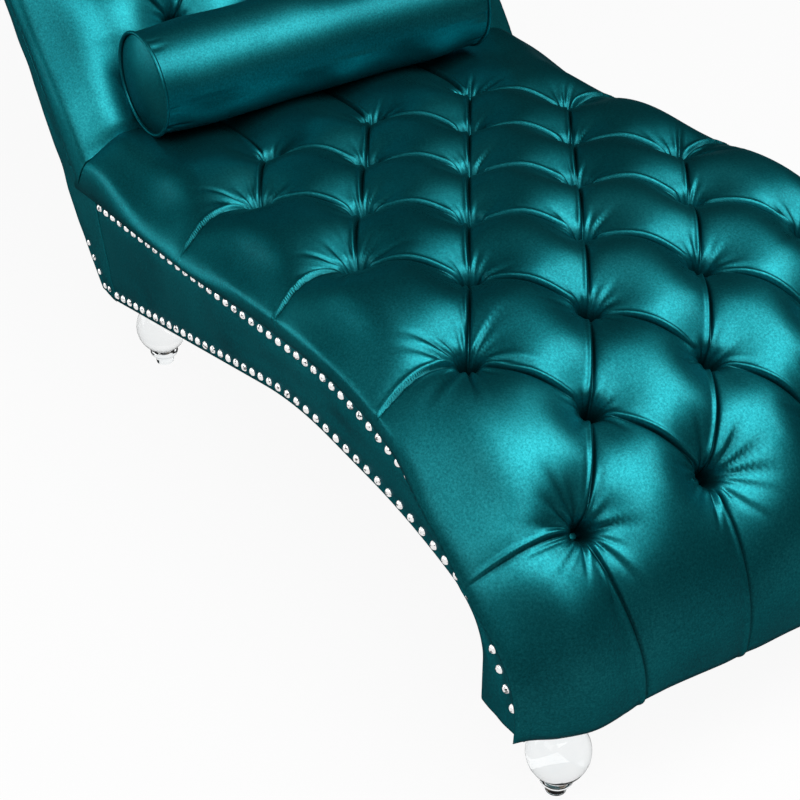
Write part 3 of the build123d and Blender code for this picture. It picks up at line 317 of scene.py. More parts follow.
def steel_material():
    material, tree, shader, coords = new_material("zinc_steel")
    scuff = noise(tree, coords, 220.0, 4.0)
    tree.links.new(ramp(tree, scuff, [(0.3, (0.45, 0.45, 0.46)), (0.7, (0.62, 0.62, 0.64))]),
                   shader.inputs["Base Color"])
    tree.links.new(spread(tree, scuff, 0.25, 0.45), shader.inputs["Roughness"])
    shader.inputs["Metallic"].default_value = 1.0
    return material


def frame_wood_material():
    material, tree, shader, coords = new_material("planed_frame_wood")
    stretch = tree.nodes.new("ShaderNodeMapping")
    stretch.inputs["Scale"].default_value = (3.0, 40.0, 40.0)
    tree.links.new(coords.outputs["Object"], stretch.inputs["Vector"])
    grain = tree.nodes.new("ShaderNodeTexNoise")
    grain.inputs["Scale"].default_value = 4.0
    grain.inputs["Detail"].default_value = 6.0
    tree.links.new(stretch.outputs["Vector"], grain.inputs["Vector"])
    tree.links.new(ramp(tree, grain.outputs["Fac"], [(0.3, (0.30, 0.18, 0.09)), (0.7, (0.55, 0.38, 0.21))]),
                   shader.inputs["Base Color"])
    tree.links.new(spread(tree, grain.outputs["Fac"], 0.6, 0.75), shader.inputs["Roughness"])
    return material


def plain_material(name, dark, light, scale, rough):
    material, tree, shader, coords = new_material(name)
    speck = noise(tree, coords, scale, 4.0)
    tree.links.new(ramp(tree, speck, [(0.3, dark), (0.7, light)]), shader.inputs["Base Color"])
    tree.links.new(spread(tree, speck, rough - 0.05, rough + 0.05), shader.inputs["Roughness"])
    bump(tree, shader, speck, 0.3, 0.0006)
    return material


# Lit and shaded copies of one velvet: tone paints the back and sides lighter and the bolster a little darker,
# besides their own roughness.
velvet = velvet_material("teal_velvet", 1.0, 0.39, 0.46)
back_velvet_painted_lighter = velvet_material("teal_velvet_back_painted_lighter", 1.25, 0.42, 0.48)
bolster_velvet_painted_darker = velvet_material("teal_velvet_bolster_painted_darker", 0.95, 0.40, 0.46)
side_velvet_painted_lighter = velvet_material("teal_velvet_sides_painted_lighter", 1.35, 0.42, 0.48)
acrylic = acrylic_material()
nail_metal = nail_material()
steel = steel_material()
frame_wood = frame_wood_material()
dust_cloth = plain_material("black_dust_cloth", (0.010, 0.010, 0.011), (0.035, 0.035, 0.038), 700.0, 0.9)
foam = plain_material("upholstery_foam", (0.62, 0.56, 0.40), (0.78, 0.72, 0.55), 400.0, 0.9)
washer_plastic = plain_material("washer_plastic", (0.72, 0.72, 0.70), (0.84, 0.84, 0.82), 60.0, 0.5)

slot_material = {"velvet": velvet, "clear_acrylic": acrylic, "nail_metal": nail_metal, "steel": steel,
                 "frame_wood": frame_wood, "dust_cloth": dust_cloth, "foam": foam,
                 "washer_plastic": washer_plastic}
for part in frame["record"]["subparts"]:
    node = nodes[part["node"]]
    node.data.materials.clear()
    node.data.materials.append(slot_material[part["material_slot"]])


# Tufted pads

WALL_LINE = smooth_line([(0, 0), (110, -2.8), (219.6, -11), (255, -15), (285, -25), (311, -36),
                         (323, -43), (329, -50.5), (329, -56.5), (321, -59)], 160)
WALL_WALK = np.concatenate([[0], np.cumsum(np.linalg.norm(np.diff(WALL_LINE, axis=0), axis=1))])
OUTER_DROP = 11.0                  # outer buttons lie this far below the middle ones
CROWN = 28.0                       # of a diamond above its buttons
TUFT_DEPTH = 34.0                  # a button's pull below the cover
TUFT_DEEPEST = 41.0
WELL_R = 36.0                      # how far a button draws the cover in, and how wide its pit is
PIT_R = 10.5
UNDER_ROWS = 90
PLEAT_PITCH = 121.2                # between two pleats that run the same way
CREASE_CUT = 0.567                 # the pads' ends at the crease slope by this much


def button_grid(rows):
    """Row and column of each button: three and four to a row in turn."""
    places = []
    for row in range(rows):
        for column in ((-2, 0, 2) if row % 2 == 0 else (-3, -1, 1, 3)):
            places.append((row, column))
    return places


def cell_steps(low, high):
    """Lattice lines from low to high, close together beside every whole number."""
    sizes = 0.9 * 1.114 ** np.arange(20)
    rise = np.cumsum(sizes) / sizes.sum() * 0.5
    cell = np.concatenate([[0], rise, 1 - rise[-2::-1]])
    lines = [k + cell for k in range(int(np.floor(low)), int(np.ceil(high)))]
    return np.append(np.concatenate(lines), np.ceil(high))


def lattice_sheet(first, rows, low_s, high_s, reach):
    """A flat sheet of points (s, t) whose edges follow the pleats, trimmed to the pad's outline."""
    low_u = (low_s - first) / ROW
    high_u = (high_s - first) / ROW
    wide = reach / COLUMN
    lines = cell_steps((low_u - wide) / 2, (high_u + wide) / 2)
    a, b = np.meshgrid(lines, lines, indexing="ij")
    s = first + ROW * (a + b)
    t = COLUMN * (a - b)
    inside = (s > low_s - 14) & (s < high_s + 14) & (np.abs(t) < reach + 14)
    keep = inside[:-1, :-1] & inside[1:, :-1] & inside[1:, 1:] & inside[:-1, 1:]
    i, j = np.nonzero(keep)
    n = len(lines)
    quads = np.stack([i * n + j, i * n + j + 1, (i + 1) * n + j + 1, (i + 1) * n + j], axis=1)
    used, index = np.unique(quads, return_inverse=True)
    points = np.stack([s.ravel()[used], t.ravel()[used], np.zeros(len(used))], axis=1)
    mesh = bpy.data.meshes.new("flat_pad")
    mesh.from_pydata(points.tolist(), [], index.reshape(-1, 4).tolist())
    sheet = bpy.data.objects.new("flat_pad", mesh)
    bpy.context.scene.collection.objects.link(sheet)
    bpy.ops.object.select_all(action="DESELECT")
    bpy.context.view_layer.objects.active = sheet
    sheet.select_set(True)
    bpy.ops.object.mode_set(mode="EDIT")
    for place, way in (((low_s, 0, 0), (-1, 0, 0)), ((high_s, 0, 0), (1, 0, 0)),
                       ((0, reach, 0), (0, 1, 0)), ((0, -reach, 0), (0, -1, 0))):
        bpy.ops.mesh.select_all(action="SELECT")
        bpy.ops.mesh.bisect(plane_co=place, plane_no=way, clear_outer=True)
    bpy.ops.mesh.select_mode(type="FACE")
    bpy.ops.mesh.select_all(action="DESELECT")
    bpy.ops.object.mode_set(mode="OBJECT")
    middle = np.empty(len(mesh.polygons) * 3)
    mesh.polygons.foreach_get("center", middle)
    middle = middle.reshape(-1, 3)
    near_pleat = np.zeros(len(middle), bool)
    for off, run in free_pleats(middle[:, 0], middle[:, 1], first, rows, 1):
        near_pleat |= (np.abs(off) < 9) & (run > 0.02)
    mesh.polygons.foreach_set("select", near_pleat)
    bpy.ops.object.mode_set(mode="EDIT")
    bpy.ops.mesh.subdivide(number_cuts=2)
    bpy.ops.mesh.select_mode(type="VERT")
    bpy.ops.object.mode_set(mode="OBJECT")
    count = len(mesh.vertices)
    flat = np.empty(count * 3)
    mesh.vertices.foreach_get("co", flat)
    faces = [tuple(p.vertices) for p in mesh.polygons]
    bpy.data.objects.remove(sheet)
    flat = flat.reshape(-1, 3)
    return flat[:, 0], flat[:, 1], faces


def hem_rows(s, t, faces, line, roll):
    """Rows of points past the sheet's end line, for the cloth that rolls under there."""
    last = np.nonzero(np.abs(s - line) < 1e-3)[0]
    last = last[np.argsort(t[last])]
    width = len(last)
    steps = np.concatenate([np.linspace(0, roll * pi / 2, 11)[1:], roll * pi / 2 + np.array([4.0, 9.0])])
    faces = list(faces)
    before = last
    for step in steps:
        row = len(s) + np.arange(width)
        s = np.concatenate([s, np.full(width, line + step)])
        t = np.concatenate([t, t[last]])
        for j in range(width - 1):
            faces.append((int(before[j]), int(row[j]), int(row[j + 1]), int(before[j + 1])))
        before = row
    return s, t, faces


def pucker(du, dt, rng, count, reach):
    """Creases that run out from a button, as heights over the distances from it."""
    r = np.hypot(du, dt)
    angle = np.arctan2(dt, du)
    total = np.zeros(r.shape)
    start = rng.uniform(-pi, pi)
    for k in range(count):
        turn = start + 2 * pi * (k + rng.uniform(-0.3, 0.3)) / count
        deep = rng.uniform(1.5, 4.2)
        run = reach * rng.uniform(0.4, 1.0)
        bend = rng.uniform(-0.004, 0.004)
        off = (angle - turn + bend * r + pi) % (2 * pi) - pi
        side = r * np.sin(np.clip(off, -pi / 2, pi / 2))
        thick = rng.uniform(1.1, 1.8) + 0.036 * r
        shape = np.exp(-(side / thick) ** 2) - 0.55 * np.exp(-((side - 2.1 * thick) / (1.2 * thick)) ** 2)
        fade = step_up(r, 5, 15) * (1 - step_up(r, 0.2 * run, run))
        total -= deep * shape * fade * (np.abs(off) < pi / 2)
    return total


def tuck(off, lip, groove, wide=1.0):
    """Cloth lapped over at a pleat: a round lip on one side and a narrow groove on the line."""
    off = off / wide
    return lip * np.exp(-((off + 3.2) / 2.5) ** 2) - groove * np.exp(-(off / 1.3) ** 2)


def free_pleats(s, t, first, rows, lap):
    """Pleats from the outer buttons to the pad's edges: the distance across each, and its strength."""
    u = (s - first) / ROW
    out = np.clip(np.abs(t) - 3 * COLUMN, 0, None)
    past = np.clip(u - rows + 1, 0, None) * ROW
    before = np.clip(-u, 0, None) * ROW
    sweep = -0.25 * out + 0.0025 * out ** 2
    off = lap * ((u - (2 * np.round((u - 1) / 2) + 1)) * ROW - sweep)
    run = step_up(out, 4, 22) * (1 - 0.5 * step_up(out, 85, 125)) * (u > 0.2) * (u < rows - 0.3)
    found = [(off, run)]
    for beyond, parity, stop in ((past, (rows - 1) % 2, 215), (before, 0, 120)):
        column = t / COLUMN
        nearest = 2 * np.round((column - parity) / 2) + parity
        pull = 26 * step_up(beyond, 0, 200) * np.where(np.abs(nearest) == 3, np.sign(nearest), 0)
        off = ((column - nearest) * COLUMN + pull) * np.where(nearest < 0, 1, -1)
        run = step_up(beyond, 6, 30) * (1 - 0.35 * step_up(beyond, 60, stop)) * (np.abs(nearest) < 4)
        found.append((off, run))
    return found


def painted_groove_shade(off, wide=1.0):
    """Share of painted shade in the groove of a pleat."""
    return 0.85 * np.exp(-((off / wide - 0.3) / 1.7) ** 2)


def tuft_height(s, t, first, rows, crown, seed, lap):
    """Height of a tufted pad over its button line, and the share of painted shade at each point, up to one,
    darkest in button pits, pleat grooves and creases.
    """
    rng = np.random.default_rng(seed)
    u = (s - first) / ROW
    v = np.clip(t / COLUMN, -3, 3)
    w = np.clip(u, 0, rows - 1)
    a = (w + v) / 2
    b = (w - v) / 2
    sa = np.abs(np.sin(pi * a))
    sb = np.abs(np.sin(pi * b))
    diamond = np.sqrt(sa * sb)
    out = np.clip(np.abs(t) - 3 * COLUMN, 0, None)
    past = np.clip(u - rows + 1, 0, None) * ROW
    before = np.clip(-u, 0, None) * ROW
    corner = np.clip(past / 90, 0, 1) * np.clip(out / 50, 0, 1)
    diamond = np.maximum(diamond, np.sqrt(corner))
    diamond = diamond + (0.86 - diamond) * step_up(past, 50, 190)
    diamond = diamond + (0.36 - diamond) * step_up(out, 20, 90)
    near = np.full(s.shape, 1e6)
    creases = np.zeros(s.shape)
    for row, column in button_grid(rows):
        du = (u - row) * ROW
        dt = t - column * COLUMN
        r = np.hypot(du, dt)
        near = np.minimum(near, r)
        edge = abs(column) == 3 or row == rows - 1
        close = r < 95
        creases[close] += pucker(du[close], dt[close], rng, 16 if edge else 12, 88 if edge else 56)
    height = crown * (0.36 + 0.64 * diamond) * (1 - np.exp(-(near / WELL_R) ** 2))
    height -= (TUFT_DEPTH - 4.0 * step_up(np.abs(t), 150, 200)) * np.exp(-(near / PIT_R) ** 2)
    # Painted shade: a share that darkens the colour in the button pits, then in the pleat grooves and creases
    # below.
    painted_shade = np.exp(-(near / 13) ** 2)

    inside = (out == 0) & (past == 0) & (before == 0)
    for share, other in ((a, sb), (b, sa)):
        off = lap * (share - np.round(share)) * PLEAT_PITCH
        run = np.where(inside, np.clip(other, 0, 1) ** 0.6, 0)
        height += tuck(off, 3.4, 4.2) * run
        painted_shade = np.maximum(painted_shade, painted_groove_shade(off) * run)
    pleats = creases
    for off, run in free_pleats(s, t, first, rows, lap):
        pleats = pleats + (tuck(off, 3.0, 4.0, 1.2) - 2.2 * np.exp(-(off / 14) ** 2)) * run
        painted_shade = np.maximum(painted_shade, 0.8 * painted_groove_shade(off, 1.2) * run)
    return height, pleats, np.maximum(painted_shade, np.clip(-creases / 7, 0, 0.55))


def steady(value):
    """A size that is the same all along a pad."""
    return lambda s: np.full(np.shape(s), float(value))


def pad_piece(name, chain, chain_at, ends, roll, first, rows, edge_at, depth_at, crown_at, sink_at,
              shoulder_at, droop_at, slim_at, corner, seed, lap, cloth):
    """A tufted pad: the lattice sheet laid over the button line, its walls, its hem and a plain underside.
    The sizes that end in _at are functions of the distance along the pad from the crease."""
    low_s, high_s = ends
    reach = WALL_WALK[-1]
    s, t, faces = lattice_sheet(first, rows, low_s, high_s - roll, reach)
    s, t, faces = hem_rows(s, t, faces, high_s - roll, roll)
    over = np.clip(s - high_s + roll, 0, None)
    turn = np.minimum(over / roll, pi / 2)
    tucked = roll * (1 - np.cos(turn)) + np.clip(over - roll * pi / 2, 0, None)
    s = np.minimum(s, high_s - roll) + roll * np.sin(turn)
    side = np.sign(t)
    far = np.abs(t)
    s = s - 0.4 * corner * step_up(far, 275, reach - 10) * step_up(s, high_s - 70, high_s)
    edge = edge_at(s)
    y = np.interp(far, WALL_WALK, WALL_LINE[:, 0])
    h = np.interp(far, WALL_WALK, WALL_LINE[:, 1])
    dy = np.interp(far, WALL_WALK, np.gradient(WALL_LINE[:, 0], WALL_WALK))
    dh = np.interp(far, WALL_WALK, np.gradient(WALL_LINE[:, 1], WALL_WALK))
    deeper = (edge - OUTER_DROP) / (SEAT_EDGE - OUTER_DROP)
    h = np.where(h < -OUTER_DROP, -OUTER_DROP + (h + OUTER_DROP) * deeper, h)
    h = h + shoulder_at(s) * step_up(far, 215, 290) * (1 - step_up(far, 326, reach - 1))
    droop = droop_at(s) * step_up(far, 285, 345)
    y = np.where(y > HALF, HALF + (y - HALF) * slim_at(s), y) + 5.0 * droop
    h = h - 7.0 * droop
    height, pleats, painted_shade = tuft_height(s, t, first, rows, crown_at(s), seed, lap)
    wall = 1 - step_up(far, 250, reach - 6)
    rng = np.random.default_rng(seed + 1)
    wave = np.zeros(s.shape)
    for _ in range(14):
        fs, ft = rng.uniform(-0.05, 0.05, 2)
        wave += 0.22 * np.sin(fs * s + ft * t + rng.uniform(0, 6.3))
    low_wall = 1 - step_up(far, 300, reach - 10)
    lift = (height * wall + pleats * low_wall + wave - sink_at(s) * wall) * step_up(reach - far, 0, 12)
    full = corner * step_up(far, 160, 255) * (1 - step_up(far, 285, reach - 8))
    full = full * step_up(s, high_s - 140, high_s - 25)
    lift = lift + 0.6 * full
    cut = CREASE_CUT * (1 - step_up(s, low_s, low_s + 75))
    up = np.maximum(h + lift * dy - tucked * (1 - step_up(far, 290, reach - 4)), -edge - 3)
    px, pz, heading = follow(chain, chain_at(s + full + cut * up))
    verts = np.stack([px - up * np.sin(heading), side * y - side * lift * dh,
                      pz + up * np.cos(heading)], axis=1)
    under_s = np.linspace(low_s, high_s, UNDER_ROWS)
    under_y = np.array([319.0, 300.0, 299.0, 0.0, -299.0, -300.0, -319.0])
    e = edge_at(under_s)
    d = depth_at(under_s)
    under_h = np.stack([-e + 1.0, -e + 1.2, -d, -d, -d, -e + 1.2, -e + 1.0], axis=1)
    cut = CREASE_CUT * (1 - step_up(under_s, low_s, low_s + 75))[:, None]
    ux, uz, turn = follow(chain, chain_at(under_s[:, None] + cut * under_h))
    under = np.stack([ux - under_h * np.sin(turn), np.repeat(under_y[None, :], UNDER_ROWS, axis=0),
                      uz + under_h * np.cos(turn)], axis=2).reshape(-1, 3)
    forward = chain_at(1.0) > chain_at(0.0)
    below = [tuple(len(verts) + k for k in face)
             for face in ring_faces(UNDER_ROWS, len(under_y), False, False)]
    if not forward:
        faces = [tuple(reversed(face)) for face in faces]
        below = [tuple(reversed(face)) for face in below]
    piece = mesh_piece(name, np.concatenate([verts, under]), faces + below, "chaise", cloth)
    # Painted shade stored on the mesh for the velvet's colour.
    painted_shade_marks = piece.data.attributes.new("painted_shade", "FLOAT", "POINT")
    painted_shade_marks.data.foreach_set("value", np.concatenate([painted_shade * low_wall, np.zeros(len(under))]))
    return piece


SKIRT = 70.0
TUCK_IN = 6.0                      # cloth runs this far under its neighbour
seat_length = SEAT_RUN + length_of(SEAT_BENDS)
nose = follow((on_seat(-SKIRT, 0), SEAT_SLOPE, [(SKIRT + SEAT_RUN, 0)] + SEAT_BENDS), SKIRT + seat_length)
drop = float(nose[1]) - FLOOR_TO_RAIL
seat_chain = (on_seat(-SKIRT, 0), SEAT_SLOPE, [(SKIRT + SEAT_RUN, 0)] + SEAT_BENDS + [(drop + 20.0, 0)])
nose_x = float(nose[0])
rail_front = nose_x - 22.0
neck_s = seat_length - length_of(SEAT_BENDS[2:])
seat_end = seat_length + drop


def seat_wall(s):
    return SEAT_EDGE - 34.0 * np.clip((s - neck_s) / (seat_length + 6 - neck_s), 0, 1)


def seat_crown(s):
    u = (s - SEAT_FIRST) / ROW
    rear = CROWN - 5 * np.clip(-2 * u, 0, 1)
    return np.where(u < 0, rear, CROWN - 14 * np.clip((u - SEAT_ROWS + 1) / 2.0, 0, 1))


def crease_sink(s):
    """Depth that a pad sinks where it runs under its neighbour at the crease."""
    return 8 * (1 - step_up(s, -TUCK_IN, 14))


def seat_slim(s):
    """Share of the pad's overhang past the bands, which is less over the crest."""
    return 1 - 0.65 * step_up(s, 280, 420) * (1 - step_up(s, 700, 820))


def seat_droop(s):
    """Where the pad hangs lowest over the bands, at the knee."""
    return step_up(s, 730, 830) * (1 - step_up(s, 940, 1040))


seat_pad = pad_piece("tufted_seat", seat_chain, lambda s: SKIRT + s, (-TUCK_IN, seat_end), roll=22.0,
                     first=SEAT_FIRST, rows=SEAT_ROWS, edge_at=seat_wall,
                     depth_at=lambda s: np.minimum(44.0, seat_wall(s) - 1.5), crown_at=seat_crown,
                     sink_at=crease_sink, shoulder_at=lambda s: 30.0 * (1 - step_up(s, 20, 190)),
                     droop_at=seat_droop, slim_at=seat_slim, corner=9.0, seed=11, lap=1, cloth=velvet)
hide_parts("seat_cover", "seat_foam")

back_length = pi * ROLL_R + BACK_RUN
back_chain = (on_back(BACK_RUN, -2 * ROLL_R), 90.0 + RECLINE, [(ROLL_R, -180.0), (BACK_RUN + SKIRT, 0)])


def back_crown(s):
    u = (s - BACK_FIRST) / ROW
    low = CROWN - 9 * np.clip(-2 * u, 0, 1)
    return np.where(u < 0, low, CROWN - 12 * np.clip((u - BACK_ROWS + 1) / 3.1, 0, 1))


back_pad = pad_piece("tufted_back", back_chain, lambda s: back_length - s, (-TUCK_IN, back_length), roll=16.0,
                     first=BACK_FIRST, rows=BACK_ROWS, edge_at=steady(BACK_EDGE), depth_at=steady(34.0),
                     crown_at=back_crown, sink_at=crease_sink,
                     shoulder_at=lambda s: 30.0 - 14.0 * step_up(s, 20, 170), droop_at=steady(0),
                     slim_at=steady(1), corner=0.0, seed=23, lap=-1, cloth=back_velvet_painted_lighter)
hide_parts("back_cover", "back_foam")


# Covered buttons, modelled once and copied into each row

BUTTON_R = 8.4


def button_form():
    bpy.ops.object.select_all(action="DESELECT")
    bpy.ops.mesh.primitive_uv_sphere_add(segments=20, ring_count=10, radius=BUTTON_R)
    form = bpy.context.object
    verts = np.array([v.co[:] for v in form.data.vertices])
    faces = [tuple(p.vertices) for p in form.data.polygons]
    bpy.data.objects.remove(form)
    verts[:, 2] *= np.where(verts[:, 2] > 0, 0.46, 0.28)
    crease = np.arctan2(verts[:, 1], verts[:, 0])
    verts[:, 2] += 0.25 * np.cos(7 * crease) * np.hypot(verts[:, 0], verts[:, 1]) / BUTTON_R
    return verts, faces


def button_rows(name, chain, distances, rows, node):
    form, form_faces = button_form()
    verts = []
    faces = []
    for row, column in button_grid(rows):
        x, z, heading = (float(v) for v in follow(chain, distances[row]))
        y = column * COLUMN
        fall = max(-OUTER_DROP * (y / (3 * COLUMN)) ** 2 - TUFT_DEPTH, -TUFT_DEEPEST)
        turn = random.uniform(0, 2 * pi)
        fx = form[:, 0] * cos(turn) - form[:, 1] * sin(turn)
        fy = form[:, 0] * sin(turn) + form[:, 1] * cos(turn)
        up = form[:, 2] + fall
        px = x + fx * cos(heading) - up * sin(heading)
        pz = z + fx * sin(heading) + up * cos(heading)
        base = len(verts) * len(form)
        verts.append(np.stack([px, y + fy, pz], axis=1))
        faces += [tuple(base + k for k in face) for face in form_faces]
    piece = mesh_piece(name, np.concatenate(verts), faces, "chaise", velvet)
    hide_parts(node)
    return piece


seat_row_at = [SKIRT + SEAT_FIRST + ROW * k for k in range(SEAT_ROWS)]
back_row_at = [back_length - BACK_FIRST - ROW * k for k in range(BACK_ROWS)]
button_rows("seat_covered_buttons", seat_chain, seat_row_at, SEAT_ROWS, "seat_buttons")
button_rows("back_covered_buttons", back_chain, back_row_at, BACK_ROWS, "back_buttons")


# Bolster

def lathe(profile, middle, side, turns, shape):
    """Rings of a profile of (along Y, radius) round a line across the chaise."""
    angles = np.linspace(0, 2 * pi, turns, endpoint=False)
    along = np.repeat(profile[:, :1], turns, axis=1)
    radius = np.repeat(profile[:, 1:], turns, axis=1)
    turn = np.repeat(angles[None, :], len(profile), axis=0)
    along, radius = shape(along, radius, turn)
    return np.stack([middle[0] + radius * np.cos(turn), side + along,
                     middle[1] + radius * np.sin(turn)], axis=2)


bolster_low, bolster_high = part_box("bolster_cover")
bolster_mid = (500 * (bolster_low.x + bolster_high.x), 500 * (bolster_low.z + bolster_high.z) - 5.0)
bolster_y = 500 * (bolster_low.y + bolster_high.y) - 4.0
BOLSTER_HALF = 231.0
BOLSTER_R = 66.0
BOLSTER_TURNS = 170
PIPING_RING_R = 63.0
PIPING_POINTS = 120


def bolster_shape(along, radius, turn):
    rng = np.random.default_rng(5)
    end = BOLSTER_HALF - np.abs(along)
    gathers = np.zeros(along.shape)
    for _ in range(70):
        place = rng.uniform(-pi, pi)
        width = rng.uniform(0.02, 0.05)
        size = rng.uniform(-2.2, 0.9)
        which = rng.choice((-1, 1))
        run = rng.uniform(14, 48)
        off = (turn - place + pi) % (2 * pi) - pi
        fade = (1 - step_up(end, 0.2 * run, run)) * (np.sign(along) == which)
        gathers += size * np.exp(-(off / width) ** 2) * fade
    wave = 1.1 * soft_noise(along.shape, 24, 3)
    body = step_up(radius, 50, 62)
    return along, radius + body * (gathers * step_up(end, 0.5, 5) + wave * step_up(end, 2, 40))


side_line = []
for k in np.linspace(-1, 1, 150):
    y = k * (BOLSTER_HALF - 1)
    swell = BOLSTER_R - 3.2 * step_up(abs(y), BOLSTER_HALF - 80, BOLSTER_HALF)
    side_line.append((y, swell))
disc = [(BOLSTER_HALF - 2 + 13 * (1 - (r / 62) ** 2), r) for r in np.linspace(61.5, 1.0, 26)]
profile = np.array([(-y, r) for y, r in reversed(disc)] + side_line + disc)
bolster_grid = lathe(profile, bolster_mid, bolster_y, BOLSTER_TURNS, bolster_shape)
faces = [tuple(reversed(face)) for face in ring_faces(len(profile), BOLSTER_TURNS)]
bolster = mesh_piece("velvet_bolster", bolster_grid.reshape(-1, 3), faces, "bolster", bolster_velvet_painted_darker)
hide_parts("bolster_cover", "bolster_filling")


def cord_tube(name, line, radius, body, node, closed=False, ribs=10):
    """A round piping along side-view or free points."""
    line = np.asarray(line, float)
    ahead = np.gradient(line, axis=0)
    if closed:
        ahead = np.roll(line, -1, axis=0) - np.roll(line, 1, axis=0)
    ahead /= np.linalg.norm(ahead, axis=1, keepdims=True)
    across = np.cross(ahead, np.array([0.0, 1.0, 0.001]))
    if closed:
        across = line - line.mean(axis=0)
    across /= np.linalg.norm(across, axis=1, keepdims=True)
    third = np.cross(ahead, across)
    angles = np.linspace(0, 2 * pi, ribs, endpoint=False)
    ring = (line[:, None, :] + radius * (np.cos(angles)[None, :, None] * across[:, None, :]
                                         + np.sin(angles)[None, :, None] * third[:, None, :]))
    count = len(line)
    faces = ring_faces(count, ribs, True, not closed)
    if closed:
        faces += [((count - 1) * ribs + j, j, (j + 1) % ribs, (count - 1) * ribs + (j + 1) % ribs)
                  for j in range(ribs)]
    piece = mesh_piece(name, ring.reshape(-1, 3), faces, body, velvet)
    bpy.ops.object.select_all(action="DESELECT")
    bpy.context.view_layer.objects.active = piece
    piece.select_set(True)
    bpy.ops.object.mode_set(mode="EDIT")
    bpy.ops.mesh.select_all(action="SELECT")
    bpy.ops.mesh.normals_make_consistent(inside=False)
    bpy.ops.object.mode_set(mode="OBJECT")
    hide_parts(node)
    return piece


for side, node in ((-1, "bolster_piping_right"), (1, "bolster_piping_left")):
    turn = np.linspace(0, 2 * pi, PIPING_POINTS, endpoint=False)
    ring = np.stack([bolster_mid[0] + PIPING_RING_R * np.cos(turn),
                     np.full(PIPING_POINTS, bolster_y + side * (BOLSTER_HALF + 0.5)),
                     bolster_mid[1] + PIPING_RING_R * np.sin(turn)], axis=1)
    cord_tube(node.replace("bolster", "bolster_end"), ring, 2.4, "bolster", node, True)


# Side bands, back panels, outside back and dust sheet

def sheet_piece(name, grid, node, material=None, thick=1.6, flip=False):
    """A cloth sheet from a grid of points, given its thickness on the inner side."""
    faces = ring_faces(grid.shape[0], grid.shape[1], False, False)
    if flip:
        faces = [tuple(reversed(f)) for f in faces]
    piece = mesh_piece(name, grid.reshape(-1, 3), faces, "chaise", material or side_velvet_painted_lighter)
    wall = piece.modifiers.new("thickness", "SOLIDIFY")
    wall.thickness = thick * MM
    wall.offset = -1.0
    bpy.ops.object.select_all(action="DESELECT")
    bpy.context.view_layer.objects.active = piece
    piece.select_set(True)
    bpy.ops.object.modifier_apply(modifier=wall.name)
    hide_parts(node)
    return piece


ARCH_SLOPE = 16.07
seam_foot = (CREASE[0] + SEAM_AHEAD, FLOOR_TO_RAIL)
seam_top = on_seat(7.0, -SEAT_EDGE)
arch_start = [(409.0, 0), (500.0, -ARCH_SLOPE)]
arch_stop = [(700.0, -13.0), (65.0, -77.0)]
bare = follow((seam_foot, ARCH_SLOPE, arch_start + arch_stop), 1e5)
flat = rail_front - FOOT_LENGTH - float(bare[0])
arch_moves = arch_start + [(flat, 0)] + arch_stop + [(float(bare[1]) - FLOOR_TO_RAIL, 0)]
arch_chain = (seam_foot, ARCH_SLOPE, arch_moves)
arch_bend = length_of(arch_moves[:4])
arch_length = length_of(arch_moves)


def lifted(chain, distance, lift):
    x, z, heading = follow(chain, distance)
    return np.stack([x - lift * np.sin(heading), z + lift * np.cos(heading)], axis=-1)


neck_foot = np.array([rail_front, FLOOR_TO_RAIL + 30.0])


def side_sheet(low_line, top_line, sign, rows, wrap, puff, seed, nails):
    """Points of a cloth face between two side-view lines; wrap turns its low edge under."""
    low_line = np.asarray(low_line)
    top_line = np.asarray(top_line)
    count = len(low_line)
    share = np.linspace(0, 1, rows)[None, :, None]
    flat_grid = low_line[:, None, :] * (1 - share) + top_line[:, None, :] * share
    bulge = puff * (1 - np.abs(2 * share[:, :, 0] - 1) ** 3) + 0.5 * soft_noise((count, rows), 9, seed)
    for nx, nz in nails:
        r = np.hypot(flat_grid[:, :, 0] - nx, flat_grid[:, :, 1] - nz)
        bulge = bulge * (1 - 0.9 * np.exp(-(r / 9) ** 2)) - 0.5 * np.exp(-(r / 7) ** 2)
    grid = np.stack([flat_grid[:, :, 0], sign * (HALF + bulge), flat_grid[:, :, 1]], axis=2)
    if wrap:
        ahead = np.gradient(low_line, axis=0)
        ahead /= np.maximum(np.linalg.norm(ahead, axis=1, keepdims=True), 1e-9)
        down = np.stack([ahead[:, 1], -ahead[:, 0]], axis=1)
        under = []
        for inward, below in ((wrap, 1.6), (0.5 * wrap, 1.8), (3.5, 1.8), (0.8, 0.8)):
            points = low_line + down * below
            inner = np.full(count, sign * (HALF - inward))
            under.append(np.stack([points[:, 0], inner, points[:, 1]], axis=1))
        grid = np.concatenate([np.stack(under, axis=1), grid[:, 1:]], axis=1)
    return grid


def nail_list(node):
    """Side-view places of a row of nails, from its solids' own vertices."""
    co = np.array([v.co[:] for v in nodes[node].data.vertices]) * 1000
    top = co[np.abs(co[:, 1]) > HALF + 2.6]
    places = []
    for x, z in top[:, [0, 2]]:
        if not any(hypot(x - px, z - pz) < 5 for px, pz in places):
            places.append((x, z))
    return places


